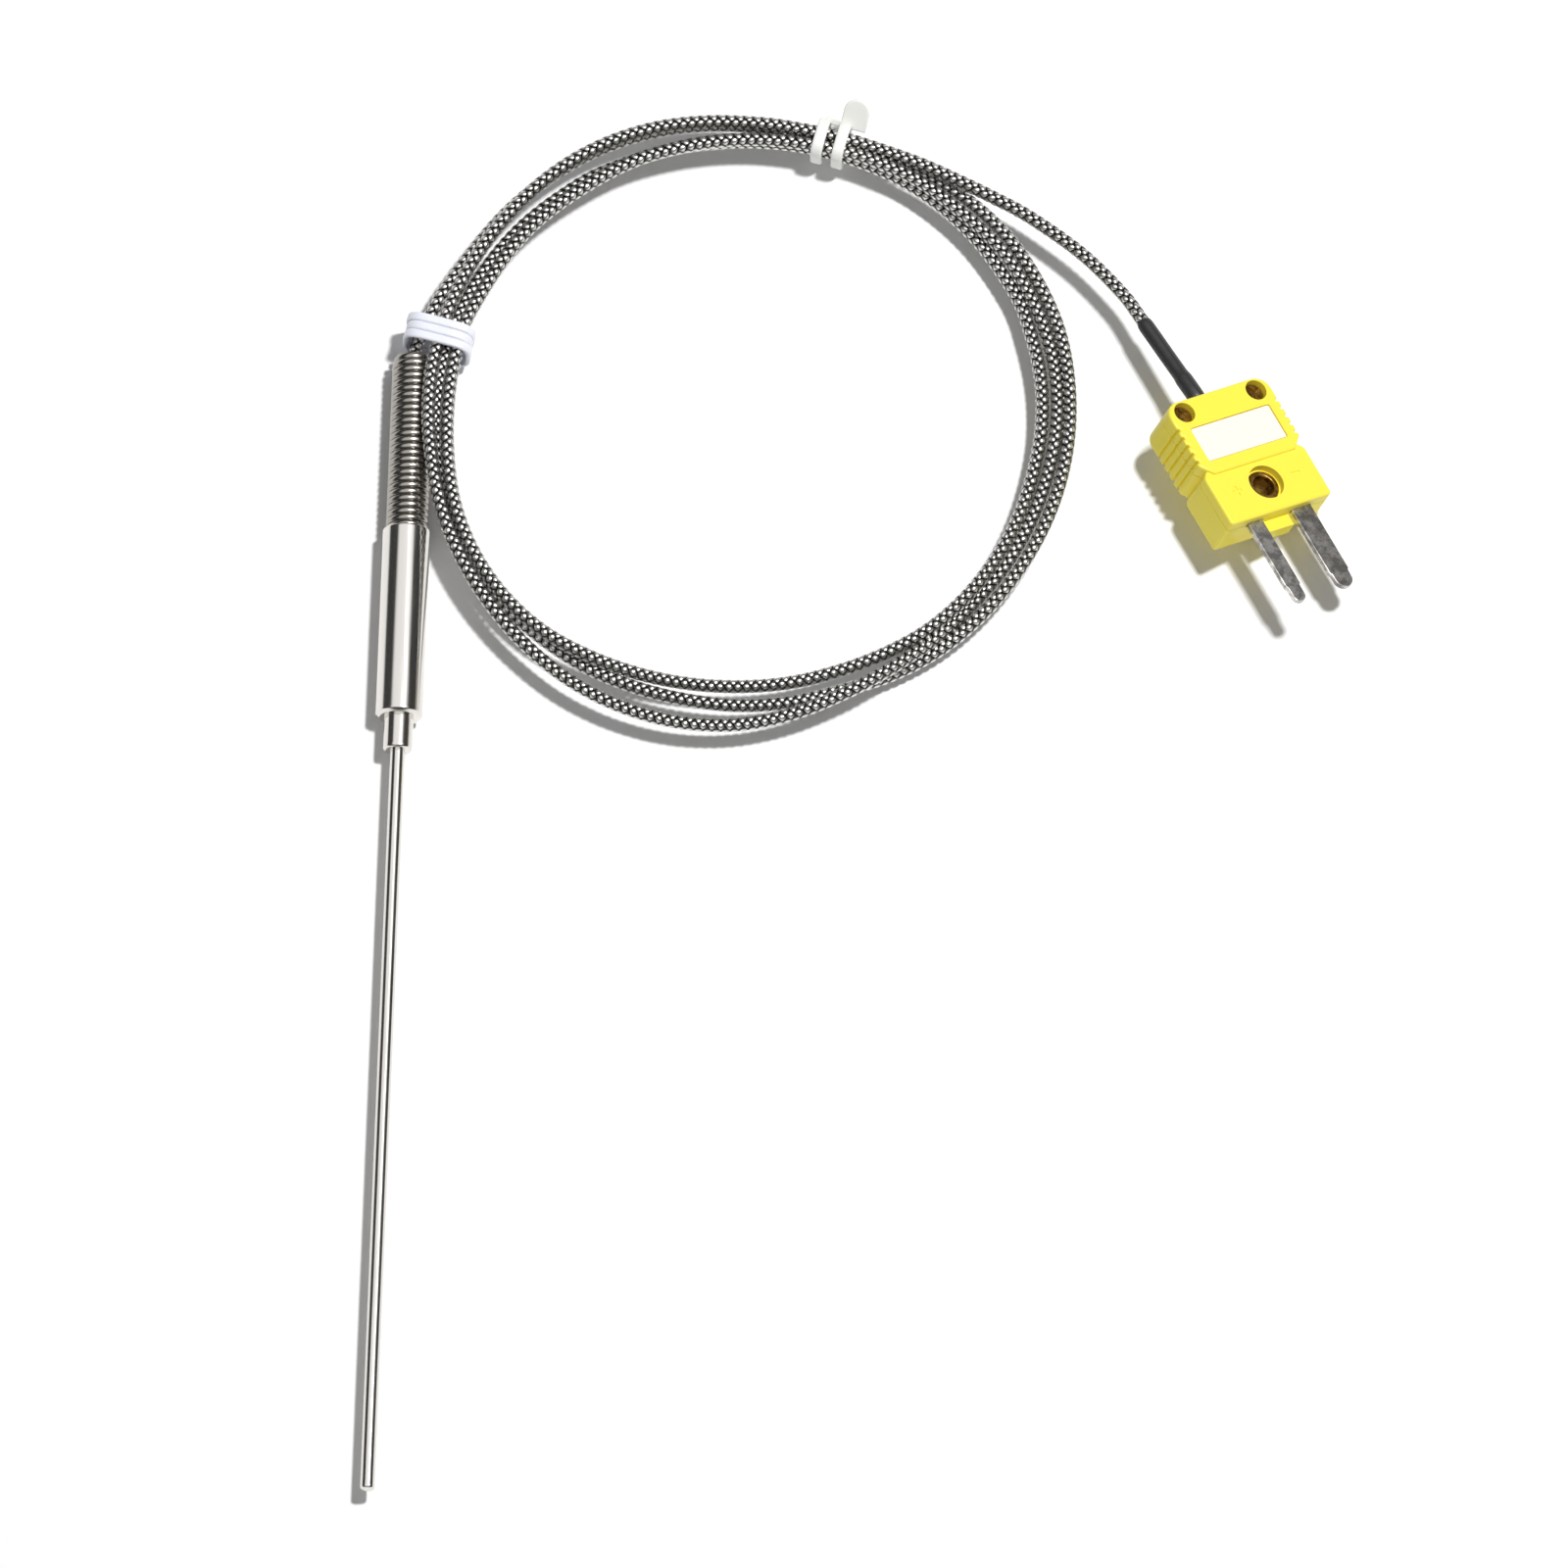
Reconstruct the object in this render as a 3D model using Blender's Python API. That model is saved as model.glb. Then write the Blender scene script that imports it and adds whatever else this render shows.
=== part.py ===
"""Thermocouple probe with a braided cable and a miniature two-pin plug.

The probe lies along Y on the floor plane Z = 0, tip towards -Y, with the origin under the middle
of its length. Its cable leaves the spring at +Y, runs three and a bit turns round a coil that lies
beside the probe, and ends in the plug at +X. Lengths are in metres, written as millimetres x MM.
"""

import math

import bmesh
import bpy
from mathutils import Euler, Matrix, Vector

MM = 0.001

# Clearances
SNUG = 0.1 * MM          # radial play of a piece in its own bore or seat
GAP = 0.3 * MM           # between pieces that only touch

# Sheathed sensor
SHEATH_DIAMETER = 2.0 * MM
SHEATH_WALL = 0.28 * MM
SHEATH_REACH = 107.6 * MM        # from the ferrule to the tip
SHEATH_IN_POTTING = 3.0 * MM
CONDUCTOR_DIAMETER = 0.3 * MM
CONDUCTOR_SPACING = 0.64 * MM
JUNCTION_DIAMETER = 0.9 * MM

# Transition from the stiff sheath to the cable
FERRULE_DIAMETER = 4.0 * MM
FERRULE_LENGTH = 4.8 * MM
FERRULE_SHANK_DIAMETER = 3.0 * MM
FERRULE_ROUND = 0.5 * MM
SLEEVE_DIAMETER = 6.5 * MM
SLEEVE_LENGTH = 27.5 * MM
SLEEVE_WALL = 0.6 * MM
SLEEVE_END_WALL = 2.0 * MM
SLEEVE_CHAMFER = 0.5 * MM
POTTING_LENGTH = 20.5 * MM
SPLICE_DIAMETER = 1.1 * MM
SPLICE_LENGTH = 4.0 * MM
SPLICE_SPACING = 1.7 * MM
CORE_WIRE_DIAMETER = 0.5 * MM
CORE_WIRE_SPACING = 0.9 * MM

# Strain relief spring
SPRING_DIAMETER = 5.8 * MM
SPRING_LENGTH = 26.0 * MM        # outside the sleeve
SPRING_SEAT = 2.0 * MM           # inside the sleeve
SPRING_WIRE = 0.84 * MM
SPRING_PITCH = 0.95 * MM
SPRING_TAPER_TURNS = 1.5
SPRING_END_DIAMETER = 4.6 * MM

# Cable
CABLE_DIAMETER = 1.9 * MM
CABLE_IN_POTTING = 4.5 * MM
COIL_CENTRE_X = 46.1 * MM
COIL_CENTRE_Y = 74.4 * MM
COIL_LOW = 4.2 * MM              # lowest and highest the bundle's middle lies
COIL_HIGH = 5.3 * MM
COIL_HIGH_AT = 30.0              # degrees round the coil from its -X side, clockwise
TURNS = (                        # each turn by degrees, radius and height off the bundle's middle
    (
        (24, 45.3, -0.7), (30, 45.15, -0.9), (40, 45.0, -0.9), (50, 44.9, -0.95), (60, 44.8, -0.95),
        (70, 44.4, -0.95), (80, 43.8, -0.95), (90, 43.1, -0.97), (105, 43.0, -0.97),
        (115, 43.0, -0.97), (122, 43.4, -0.9), (130, 44.1, -0.6), (140, 44.6, -0.2), (150, 44.4, 0.0),
        (160, 44.3, 0.0), (170, 43.9, 0.0), (180, 43.6, 0.0), (190, 43.3, 0.0), (200, 43.0, 0.0),
        (210, 42.7, -0.1), (220, 42.4, -0.6), (230, 42.0, -1.4), (240, 41.5, -1.6),
        (250, 41.2, -1.0), (260, 41.6, -0.4), (270, 41.9, -0.1), (280, 42.0, 0.0), (290, 42.2, -0.2),
        (300, 42.4, -0.8), (310, 42.6, -0.95), (320, 43.0, -0.95), (330, 43.1, -0.9),
        (340, 43.1, -0.7), (350, 42.9, -0.2), (360, 42.6, 0.0),
    ),
    (
        (0, 42.6, 0.0), (10, 42.5, 0.0), (20, 42.4, -0.4), (30, 42.2, -0.75), (40, 42.0, -0.8),
        (50, 41.7, -0.85), (60, 41.5, -0.85), (75, 41.2, -0.95), (90, 41.0, -0.97),
        (105, 41.0, -0.97), (120, 41.1, -0.95), (135, 41.0, -0.95), (150, 40.8, -0.7),
        (160, 40.4, -0.3), (170, 40.15, 0.0), (180, 39.8, 0.0), (190, 39.4, 0.0), (200, 39.3, 0.2),
        (210, 39.3, 0.5), (220, 39.4, 0.75), (230, 39.25, 0.4), (240, 38.85, 0.1), (250, 38.7, 0.0),
        (260, 38.9, 0.0), (270, 39.15, 0.0), (280, 39.6, 0.0), (290, 40.3, 0.2), (300, 41.3, 0.8),
        (310, 42.2, 0.95), (320, 42.55, 0.95), (330, 42.5, 0.9), (340, 42.15, 0.9), (350, 41.5, 1.1),
        (360, 41.1, 1.25),
    ),
    (
        (0, 41.1, 1.25), (10, 41.0, 1.25), (20, 40.9, 1.0), (40, 40.7, 0.85), (60, 40.5, 0.85),
        (75, 40.5, 0.95), (90, 40.6, 0.97), (105, 40.9, 0.97), (115, 41.3, 0.95), (125, 41.7, 0.7),
        (140, 42.1, 0.5), (150, 42.3, 0.3), (160, 42.35, 0.1), (170, 42.2, 0.0), (180, 41.8, 0.0),
        (190, 41.35, -0.2), (200, 41.0, -0.4), (210, 40.7, -0.7), (220, 40.4, -0.85),
        (230, 40.7, -0.3), (236, 41.0, 0.3), (242, 41.5, 0.7), (250, 42.35, 0.8), (260, 43.6, 0.4),
        (270, 44.75, 0.0), (280, 45.4, 0.0), (290, 45.6, 0.0), (300, 45.5, 0.0), (310, 45.1, 0.1),
        (320, 44.7, 0.5), (330, 44.4, 0.8), (340, 44.1, 0.95), (350, 43.75, 1.2), (360, 43.75, 1.35),
    ),
    (
        (0, 43.75, 1.35), (10, 43.8, 1.25), (20, 43.85, 0.95), (30, 44.0, 0.8), (40, 44.2, 0.9),
        (50, 44.45, 0.95), (60, 44.5, 0.97), (70, 44.2, 0.97), (80, 43.55, 0.97), (90, 42.95, 0.97),
        (97, 42.7, 0.97), (105, 42.75, 0.97), (112, 43.0, 1.0), (120, 43.75, 1.1), (127, 44.7, 1.2),
        (134, 46.2, 1.3),
    ),
)
LEAD_IN_JOINS = ((15.5, 46.3, -1.3), (21.5, 46.1, -0.8))
LEAD_OUT_LEAVES = (134.8, 46.65, 1.3)
TOP_TIE_AT = 103.3
SIDE_TIE_AT = 13.5
TIE_COVERS = 4                   # degrees to either side of a tie that the bundle is measured over

# Heat-shrink sleeve over the end of the cable
SHRINK_WALL = 0.14 * MM
SHRINK_COLLAR_WALL = 0.26 * MM
SHRINK_LENGTH = 18.7 * MM

# Ties
TIE_THICKNESS = 0.7 * MM
TOP_TIE_BAND = 1.6 * MM
TOP_TIE_SPACING = 2.9 * MM
TOP_TIE_TAB = (3.6 * MM, 4.4 * MM)
TOP_TIE_TAB_THICKNESS = 0.9 * MM
TOP_TIE_STRAP = 1.0 * MM
SIDE_TIE_BAND = 1.25 * MM
SIDE_TIE_WRAPS = 3
SIDE_TIE_SLACK = 1.0 * MM
SIDE_TIE_DROP = 2.5 * MM         # how far it hangs below the bundle, round the incoming cable

# Plug, in its own frame: +X towards the pins, +Y to the wide pin, +Z up through the cover
PLUG_AT = Vector((112.9 * MM, 69.5 * MM, 0.0))
PLUG_HEADING = -59.0
PLUG_ROLL = -25.0
PLUG_LENGTH = 19.6 * MM
PLUG_WIDTH = 17.3 * MM
PLUG_THICKNESS = 7.4 * MM
PLUG_SPLIT = 1.4 * MM            # height of the joint between the halves
PLUG_EDGE = 0.3 * MM
NOTCH_AT = 1.2 * MM
NOTCH_DEPTH = 0.85 * MM
REAR_ROUND = 2.2 * MM
FRONT_ROUND = 0.9 * MM
FRONT_STEP = 0.45 * MM           # the front lies this much lower than the rear
GRIP_GROOVES = 5
GRIP_MARGIN = 0.1 * MM
GRIP_PITCH = 1.32 * MM
GRIP_GROOVE_WIDTH = 0.5 * MM
GRIP_GROOVE_DEPTH = 0.4 * MM
TONGUE_LENGTH = 1.7 * MM
TONGUE_WIDTH = 4.4 * MM
TONGUE_BOTTOM = -1.5 * MM
TONGUE_TOP = 0.8 * MM
LABEL_LENGTH = 5.5 * MM
LABEL_WIDTH = 13.6 * MM
LABEL_FROM = -5.4 * MM
LABEL_RECESS = 0.35 * MM
LABEL_THICKNESS = 0.2 * MM
PIN_SPACING = 7.9 * MM
PIN_THICKNESS = 0.8 * MM
PIN_REACH = 13.2 * MM
PIN_INNER_END = -2.0 * MM
PIN_POSITIVE_WIDTH = 2.4 * MM
PIN_NEGATIVE_WIDTH = 3.2 * MM
PIN_NOSE = 2.6 * MM
PIN_SHOULDER = 0.22 * MM
TERMINAL_AT = -0.5 * MM
TERMINAL_HEAD_DIAMETER = 2.4 * MM
TERMINAL_HEAD_HEIGHT = 0.75 * MM
TERMINAL_SHANK_DIAMETER = 1.2 * MM
TERMINAL_SHANK_LENGTH = 1.9 * MM
CABLE_ENTRY_Y = -1.5 * MM        # the cable enters off the plug's middle
CHAMBER_FROM = -5.6 * MM
CHAMBER_TO = 1.7 * MM
CHAMBER_WIDTH = 12.4 * MM
CHAMBER_FLOOR = -1.4 * MM
CHAMBER_TOP = 2.5 * MM
COVER_SCREW_X = -7.9 * MM
COVER_SCREW_Y = 6.15 * MM
COVER_SCREW_HEAD = 2.9 * MM
COVER_SCREW_HEAD_HEIGHT = 0.9 * MM
COVER_SCREW_SHANK = 1.6 * MM
COVER_SCREW_LENGTH = 4.6 * MM
COVER_SCREW_SUNK = 0.7 * MM
EYELET_X = 5.3 * MM
EYELET_RECESS_DIAMETER = 5.2 * MM
EYELET_DIAMETER = 3.8 * MM
EYELET_WALL = 0.45 * MM
EYELET_FLANGE = 4.8 * MM
EYELET_FLANGE_THICKNESS = 0.35 * MM
EYELET_SEAT_ABOVE_SPLIT = 0.55 * MM
EYELET_SEAT_DEPTH_BELOW = 0.9 * MM
SIGN_SIZE = 1.5 * MM
SIGN_STROKE = 0.35 * MM
SIGN_DEPTH = 0.15 * MM
SIGN_X = 5.3 * MM
SIGN_Y = 5.0 * MM
TAIL_DIAMETER = 0.6 * MM

# Stations along the probe
PROBE_LENGTH = SHEATH_REACH + FERRULE_LENGTH + SLEEVE_LENGTH + SPRING_LENGTH
TIP_Y = -PROBE_LENGTH / 2
FERRULE_Y = TIP_Y + SHEATH_REACH
SLEEVE_Y = FERRULE_Y + FERRULE_LENGTH
SPRING_Y = SLEEVE_Y + SLEEVE_LENGTH
END_Y = SPRING_Y + SPRING_LENGTH
AXIS_Z = SLEEVE_DIAMETER / 2

SHEATH_BACK_Y = SLEEVE_Y + SLEEVE_END_WALL + SHEATH_IN_POTTING
POTTING_Y = SLEEVE_Y + SLEEVE_END_WALL + SNUG
POTTING_END_Y = POTTING_Y + POTTING_LENGTH
CABLE_START_Y = POTTING_END_Y - CABLE_IN_POTTING
SPLICE_Y = SHEATH_BACK_Y + 4.0 * MM
JUNCTION_Y = TIP_Y + SHEATH_WALL + JUNCTION_DIAMETER * 0.7

ROUND_SIDES = 28
WIRE_SIDES = 8
SIDES = (("positive", -1), ("negative", 1))


# Materials
def material(name, color, metallic=0.0, roughness=0.5):
    """A Principled material with the piece's own colour, metallic value and roughness."""
    made = bpy.data.materials.new(name)
    made.use_nodes = True
    shader = made.node_tree.nodes["Principled BSDF"]
    shader.inputs["Base Color"].default_value = (*color, 1.0)
    shader.inputs["Metallic"].default_value = metallic
    shader.inputs["Roughness"].default_value = roughness
    made.diffuse_color = (*color, 1.0)
    return made


# Objects
def add(name, mesh, finish, parent=None, smooth=True):
    """Link a mesh as a named object, smooth on its round faces and sharp on its edges."""
    if smooth:
        mesh.shade_smooth()
        mesh.set_sharp_from_angle(angle=math.radians(35))
    made = bpy.data.objects.new(name, mesh)
    bpy.context.scene.collection.objects.link(made)
    made.parent = parent
    if finish:
        mesh.materials.append(finish)
    return made


def mesh_from(name, bm):
    """Close a bmesh into a mesh with its faces pointing out."""
    bmesh.ops.recalc_face_normals(bm, faces=bm.faces)
    mesh = bpy.data.meshes.new(name)
    bm.to_mesh(mesh)
    bm.free()
    return mesh


def bridge(bm, rings, closed):
    """Join rings of vertices with quads, or with triangles where a ring is a single point."""
    last = len(rings) if closed else len(rings) - 1
    for i in range(last):
        a = rings[i]
        b = rings[(i + 1) % len(rings)]
        count = max(len(a), len(b))
        for k in range(count):
            n = (k + 1) % count
            corners = [a[k % len(a)], a[n % len(a)], b[n % len(b)], b[k % len(b)]]
            unique = list(dict.fromkeys(corners))
            if len(unique) > 2:
                bm.faces.new(unique)


def lathe(name, profile, closed=False, axis="Y", sides=ROUND_SIDES):
    """Turn a profile of (along, radius) points about an axis; a closed one makes a hollow piece."""
    bm = bmesh.new()
    rings = []
    for along, radius in profile:
        ring = []
        for k in range(sides if radius > 0 else 1):
            angle = 2 * math.pi * k / sides
            c = radius * math.cos(angle)
            s = radius * math.sin(angle)
            place = {"X": (along, c, s), "Y": (c, along, s), "Z": (c, s, along)}[axis]
            ring.append(bm.verts.new(place))
        rings.append(ring)
    bridge(bm, rings, closed)
    if not closed:
        for ring in (rings[0], rings[-1]):
            if len(ring) > 1:
                bm.faces.new(ring)
    return mesh_from(name, bm)


def rod(name, radius, start, end, axis="Y", sides=16):
    """A plain round bar with flat ends."""
    return lathe(name, [(start, radius), (end, radius)], axis=axis, sides=sides)


def post(name, radius, low, high, sides=20):
    """A plain round bar that stands along Z."""
    return rod(name, radius, low, high, axis="Z", sides=sides)


def prism(name, outline, low, high, bevel_top=0.0, bevel_bottom=0.0):
    """Extrude an outline from low to high, with its top or bottom edge chamfered."""
    bm = bmesh.new()
    rings = [[bm.verts.new((x, y, z)) for x, y in outline] for z in (low, high)]
    bridge(bm, rings, closed=False)
    bottom = bm.faces.new(rings[0])
    top = bm.faces.new(rings[1])
    bmesh.ops.recalc_face_normals(bm, faces=bm.faces)
    for face, width in ((top, bevel_top), (bottom, bevel_bottom)):
        if width > 0:
            bmesh.ops.bevel(
                bm, geom=list(face.edges), offset=width, segments=1, affect="EDGES"
            )
    return mesh_from(name, bm)


def box(name, low, high):
    """A box between two corners."""
    corners = [(low[0], low[1]), (high[0], low[1]), (high[0], high[1]), (low[0], high[1])]
    return prism(name, corners, low[2], high[2])


def comb(name, boxes):
    """Several separate boxes in one mesh, each given by two corners."""
    bm = bmesh.new()
    for low, high in boxes:
        middle = (Vector(low) + Vector(high)) / 2
        size = Vector(high) - Vector(low)
        bmesh.ops.create_cube(bm, size=1.0, matrix=Matrix.LocRotScale(middle, None, size))
    return mesh_from(name, bm)


def sweep(name, centres, sections, closed=True):
    """Skin a row of sections, each a list of points round its centre."""
    bm = bmesh.new()
    rings = [[bm.verts.new(c + p) for p in s] for c, s in zip(centres, sections)]
    bridge(bm, rings, closed)
    if not closed:
        bm.faces.new(rings[0])
        bm.faces.new(rings[-1])
    return mesh_from(name, bm)


def wire(name, points, radius, finish, parent=None, resolution=2):
    """A round wire or cable along points, with filled ends."""
    curve = bpy.data.curves.new(name, "CURVE")
    curve.dimensions = "3D"
    curve.bevel_depth = radius
    curve.bevel_resolution = resolution
    curve.use_fill_caps = True
    spline = curve.splines.new("POLY")
    spline.points.add(len(points) - 1)
    for target, point in zip(spline.points, points):
        target.co = (*point, 1.0)
    made = bpy.data.objects.new(name, curve)
    bpy.context.scene.collection.objects.link(made)
    made.parent = parent
    if finish:
        curve.materials.append(finish)
    return made


def as_cutter(made):
    """Hide a helper solid, so that it only shapes other pieces."""
    made.hide_render = True
    made.display_type = "WIRE"
    return made


def combine(target, helper, operation):
    """Cut or join a helper solid into a piece."""
    step = target.modifiers.new(f"{operation.lower()} {helper.name}", "BOOLEAN")
    step.operation = operation
    step.object = as_cutter(helper)
    step.solver = "EXACT"
    return step


def cut(target, name, mesh, parent=None):
    """Cut a helper mesh out of a piece and return the helper."""
    helper = add(name, mesh, None, parent, smooth=False)
    combine(target, helper, "DIFFERENCE")
    return helper


def wire_cutter(name, points, radius):
    """A closed mesh along points, for cutting the channel of a wire."""
    guide = wire(f"{name}_path", points, radius, None)
    bpy.context.view_layer.update()
    shape = guide.evaluated_get(bpy.context.evaluated_depsgraph_get())
    mesh = bpy.data.meshes.new_from_object(shape)
    bpy.data.objects.remove(guide)
    return add(name, mesh, None, smooth=False)


# Curves
def blend(t):
    """Smooth step from 0 to 1."""
    t = min(max(t, 0.0), 1.0)
    return t * t * (3 - 2 * t)


def smooth_path(knots, step):
    """Points about one step apart on a Catmull-Rom curve through the knots."""
    padded = [knots[0] * 2 - knots[1], *knots, knots[-1] * 2 - knots[-2]]
    path = []
    for i in range(1, len(padded) - 2):
        a, b, c, d = padded[i - 1 : i + 3]
        parts = max(1, round((c - b).length / step))
        for k in range(parts):
            t = k / parts
            path.append(
                0.5
                * (
                    b * 2
                    + (c - a) * t
                    + (a * 2 - b * 5 + c * 4 - d) * t**2
                    + (b * 3 - a - c * 3 + d) * t**3
                )
            )
    path.append(knots[-1])
    return path


def cut_short(path, length):
    """The first stretch of a path, of the given length."""
    kept = [path[0]]
    left = length
    for a, b in zip(path, path[1:]):
        span = (b - a).length
        if span >= left:
            kept.append(a.lerp(b, left / span))
            return kept
        kept.append(b)
        left -= span
    return kept


# The coil's turns, by degrees clockwise from its -X side
def turns_at(angle):
    """Radius and height of each turn that the bundle has at this angle."""
    found = []
    for turn in TURNS:
        for (a, *start), (b, *end) in zip(turn, turn[1:]):
            if a <= angle < b:
                share = (angle - a) / (b - a)
                found.append([(p + (q - p) * share) * MM for p, q in zip(start, end)])
    return found


def bundle_at(angle):
    """Inner and outer radius of the bundle at this angle, and its lowest and highest."""
    reaches, lifts = zip(*turns_at(angle))
    half = CABLE_DIAMETER / 2
    return min(reaches) - half, max(reaches) + half, min(lifts) - half, max(lifts) + half


def bundle_near(angle):
    """The same four for the stretch that a tie covers."""
    found = [bundle_at(angle + k - TIE_COVERS) for k in range(2 * TIE_COVERS + 1)]
    lows = [min(f[k] for f in found) for k in (0, 2)]
    highs = [max(f[k] for f in found) for k in (1, 3)]
    return lows[0], highs[0], lows[1], highs[1]


def coil_point(angle, reach, lift):
    """The place at an angle and radius of the coil, off the middle height of its bundle."""
    turn = math.radians(angle)
    raised = (1 + math.cos(turn - math.radians(COIL_HIGH_AT))) / 2
    return Vector(
        (
            COIL_CENTRE_X - reach * math.cos(turn),
            COIL_CENTRE_Y + reach * math.sin(turn),
            COIL_LOW + (COIL_HIGH - COIL_LOW) * raised + lift,
        )
    )


def coil_knot(angle, reach, lift):
    """The same with the radius and height in millimetres."""
    return coil_point(angle, reach * MM, lift * MM)


def rounded(half_a, half_b, count, power=3.6):
    """Points round a soft-cornered rectangle."""
    points = []
    for k in range(count):
        angle = 2 * math.pi * (k + 0.5) / count
        c = math.cos(angle)
        s = math.sin(angle)
        size = (abs(c) ** power + abs(s) ** power) ** (-1 / power)
        points.append((half_a * size * c, half_b * size * s))
    return points


# Probe
def make_sheath(steel):
    outer = SHEATH_DIAMETER / 2
    inner = outer - SHEATH_WALL
    tip = [
        (TIP_Y + outer * (1 - math.cos(a)), outer * math.sin(a))
        for a in (math.radians(90 * k / 5) for k in range(6))
    ]
    hollow = [
        (TIP_Y + SHEATH_WALL + inner * (1 - math.cos(a)), inner * math.sin(a))
        for a in (math.radians(90 * k / 4) for k in range(4, -1, -1))
    ]
    mesh = lathe("sheath", tip + [(SHEATH_BACK_Y, outer), (SHEATH_BACK_Y, inner)] + hollow)
    return place_on_axis(add("sheath", mesh, steel))


def place_on_axis(made):
    made.location.z = AXIS_Z
    return made


def make_insulation(powder):
    radius = SHEATH_DIAMETER / 2 - SHEATH_WALL - SNUG / 2
    front = JUNCTION_Y + JUNCTION_DIAMETER / 2 + SNUG
    mesh = rod("insulation_core", radius, front, SHEATH_BACK_Y)
    core = place_on_axis(add("insulation_core", mesh, powder))
    for label, side in SIDES:
        bore = rod(
            "bore",
            CONDUCTOR_DIAMETER / 2 + SNUG / 2,
            front - 1 * MM,
            SHEATH_BACK_Y + 1 * MM,
            sides=WIRE_SIDES,
        )
        helper = cut(core, f"core_bore_{label}", bore)
        helper.location = (side * CONDUCTOR_SPACING / 2, 0, AXIS_Z)
    return core


def conductor_path(side):
    """From the junction through the core and out to the splice."""
    near = side * CONDUCTOR_SPACING / 2
    far = side * SPLICE_SPACING / 2
    start = JUNCTION_Y + JUNCTION_DIAMETER / 2 + SNUG / 2
    stations = [
        (near, start),
        (near, SHEATH_BACK_Y + 0.6 * MM),
        (far, SPLICE_Y - 0.6 * MM),
        (far, SPLICE_Y + SPLICE_LENGTH * 0.4),
    ]
    return [Vector((x, y, AXIS_Z)) for x, y in stations]


def core_wire_path(side):
    """From the splice back to the end of the cable."""
    far = side * SPLICE_SPACING / 2
    near = side * CORE_WIRE_SPACING / 2
    stations = [
        (far, SPLICE_Y + SPLICE_LENGTH * 0.6),
        (far, SPLICE_Y + SPLICE_LENGTH + 0.5 * MM),
        (near, CABLE_START_Y - 0.8 * MM),
        (near, CABLE_START_Y - SNUG),
    ]
    return [Vector((x, y, AXIS_Z)) for x, y in stations]


def make_conductors(alloys, tin):
    for label, side in SIDES:
        wire(f"conductor_{label}", conductor_path(side), CONDUCTOR_DIAMETER / 2, alloys[label])
        wire(f"core_wire_{label}", core_wire_path(side), CORE_WIRE_DIAMETER / 2, alloys[label])
        outer = SPLICE_DIAMETER / 2
        inner = CORE_WIRE_DIAMETER / 2 + SNUG / 2
        end = SPLICE_Y + SPLICE_LENGTH
        profile = [(SPLICE_Y, inner), (SPLICE_Y, outer), (end, outer), (end, inner)]
        crimp = add(f"splice_{label}", lathe("splice", profile, closed=True, sides=12), tin)
        crimp.location = (side * SPLICE_SPACING / 2, 0, AXIS_Z)


def make_junction(steel):
    radius = JUNCTION_DIAMETER / 2
    ball = [
        (JUNCTION_Y - radius * math.cos(a), radius * math.sin(a))
        for a in (math.radians(180 * k / 6) for k in range(7))
    ]
    ball[0] = (ball[0][0], 0)
    ball[-1] = (ball[-1][0], 0)
    return place_on_axis(add("junction_bead", lathe("junction_bead", ball, sides=12), steel))


def make_ferrule(steel):
    bore = SHEATH_DIAMETER / 2 + SNUG / 2
    outer = FERRULE_DIAMETER / 2
    shank = FERRULE_SHANK_DIAMETER / 2
    face = SLEEVE_Y - SNUG / 2
    rounding = [
        (
            FERRULE_Y + FERRULE_ROUND * (1 - math.sin(a)),
            outer - FERRULE_ROUND * (1 - math.cos(a)),
        )
        for a in (math.radians(90 * k / 3) for k in range(3, -1, -1))
    ]
    back = SLEEVE_Y + SLEEVE_END_WALL
    profile = [(FERRULE_Y, bore), *rounding, (face, outer), (face, shank), (back, shank), (back, bore)]
    return place_on_axis(add("sheath_ferrule", lathe("sheath_ferrule", profile, closed=True), steel))


def make_sleeve(steel):
    outer = SLEEVE_DIAMETER / 2
    hole = FERRULE_SHANK_DIAMETER / 2 + SNUG / 2
    bore = outer - SLEEVE_WALL
    seat = SPRING_DIAMETER / 2 + SNUG
    wall_y = SLEEVE_Y + SLEEVE_END_WALL
    seat_y = SPRING_Y - SPRING_SEAT - SNUG
    profile = [
        (SLEEVE_Y, hole),
        (SLEEVE_Y, outer - SLEEVE_CHAMFER),
        (SLEEVE_Y + SLEEVE_CHAMFER * 0.8, outer),
        (SPRING_Y - SLEEVE_CHAMFER * 0.4, outer),
        (SPRING_Y, seat + (outer - seat) * 0.4),
        (SPRING_Y, seat),
        (seat_y, seat),
        (seat_y, bore),
        (wall_y, bore),
        (wall_y, hole),
    ]
    mesh = lathe("transition_sleeve", profile, closed=True, sides=40)
    return place_on_axis(add("transition_sleeve", mesh, steel))


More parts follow.
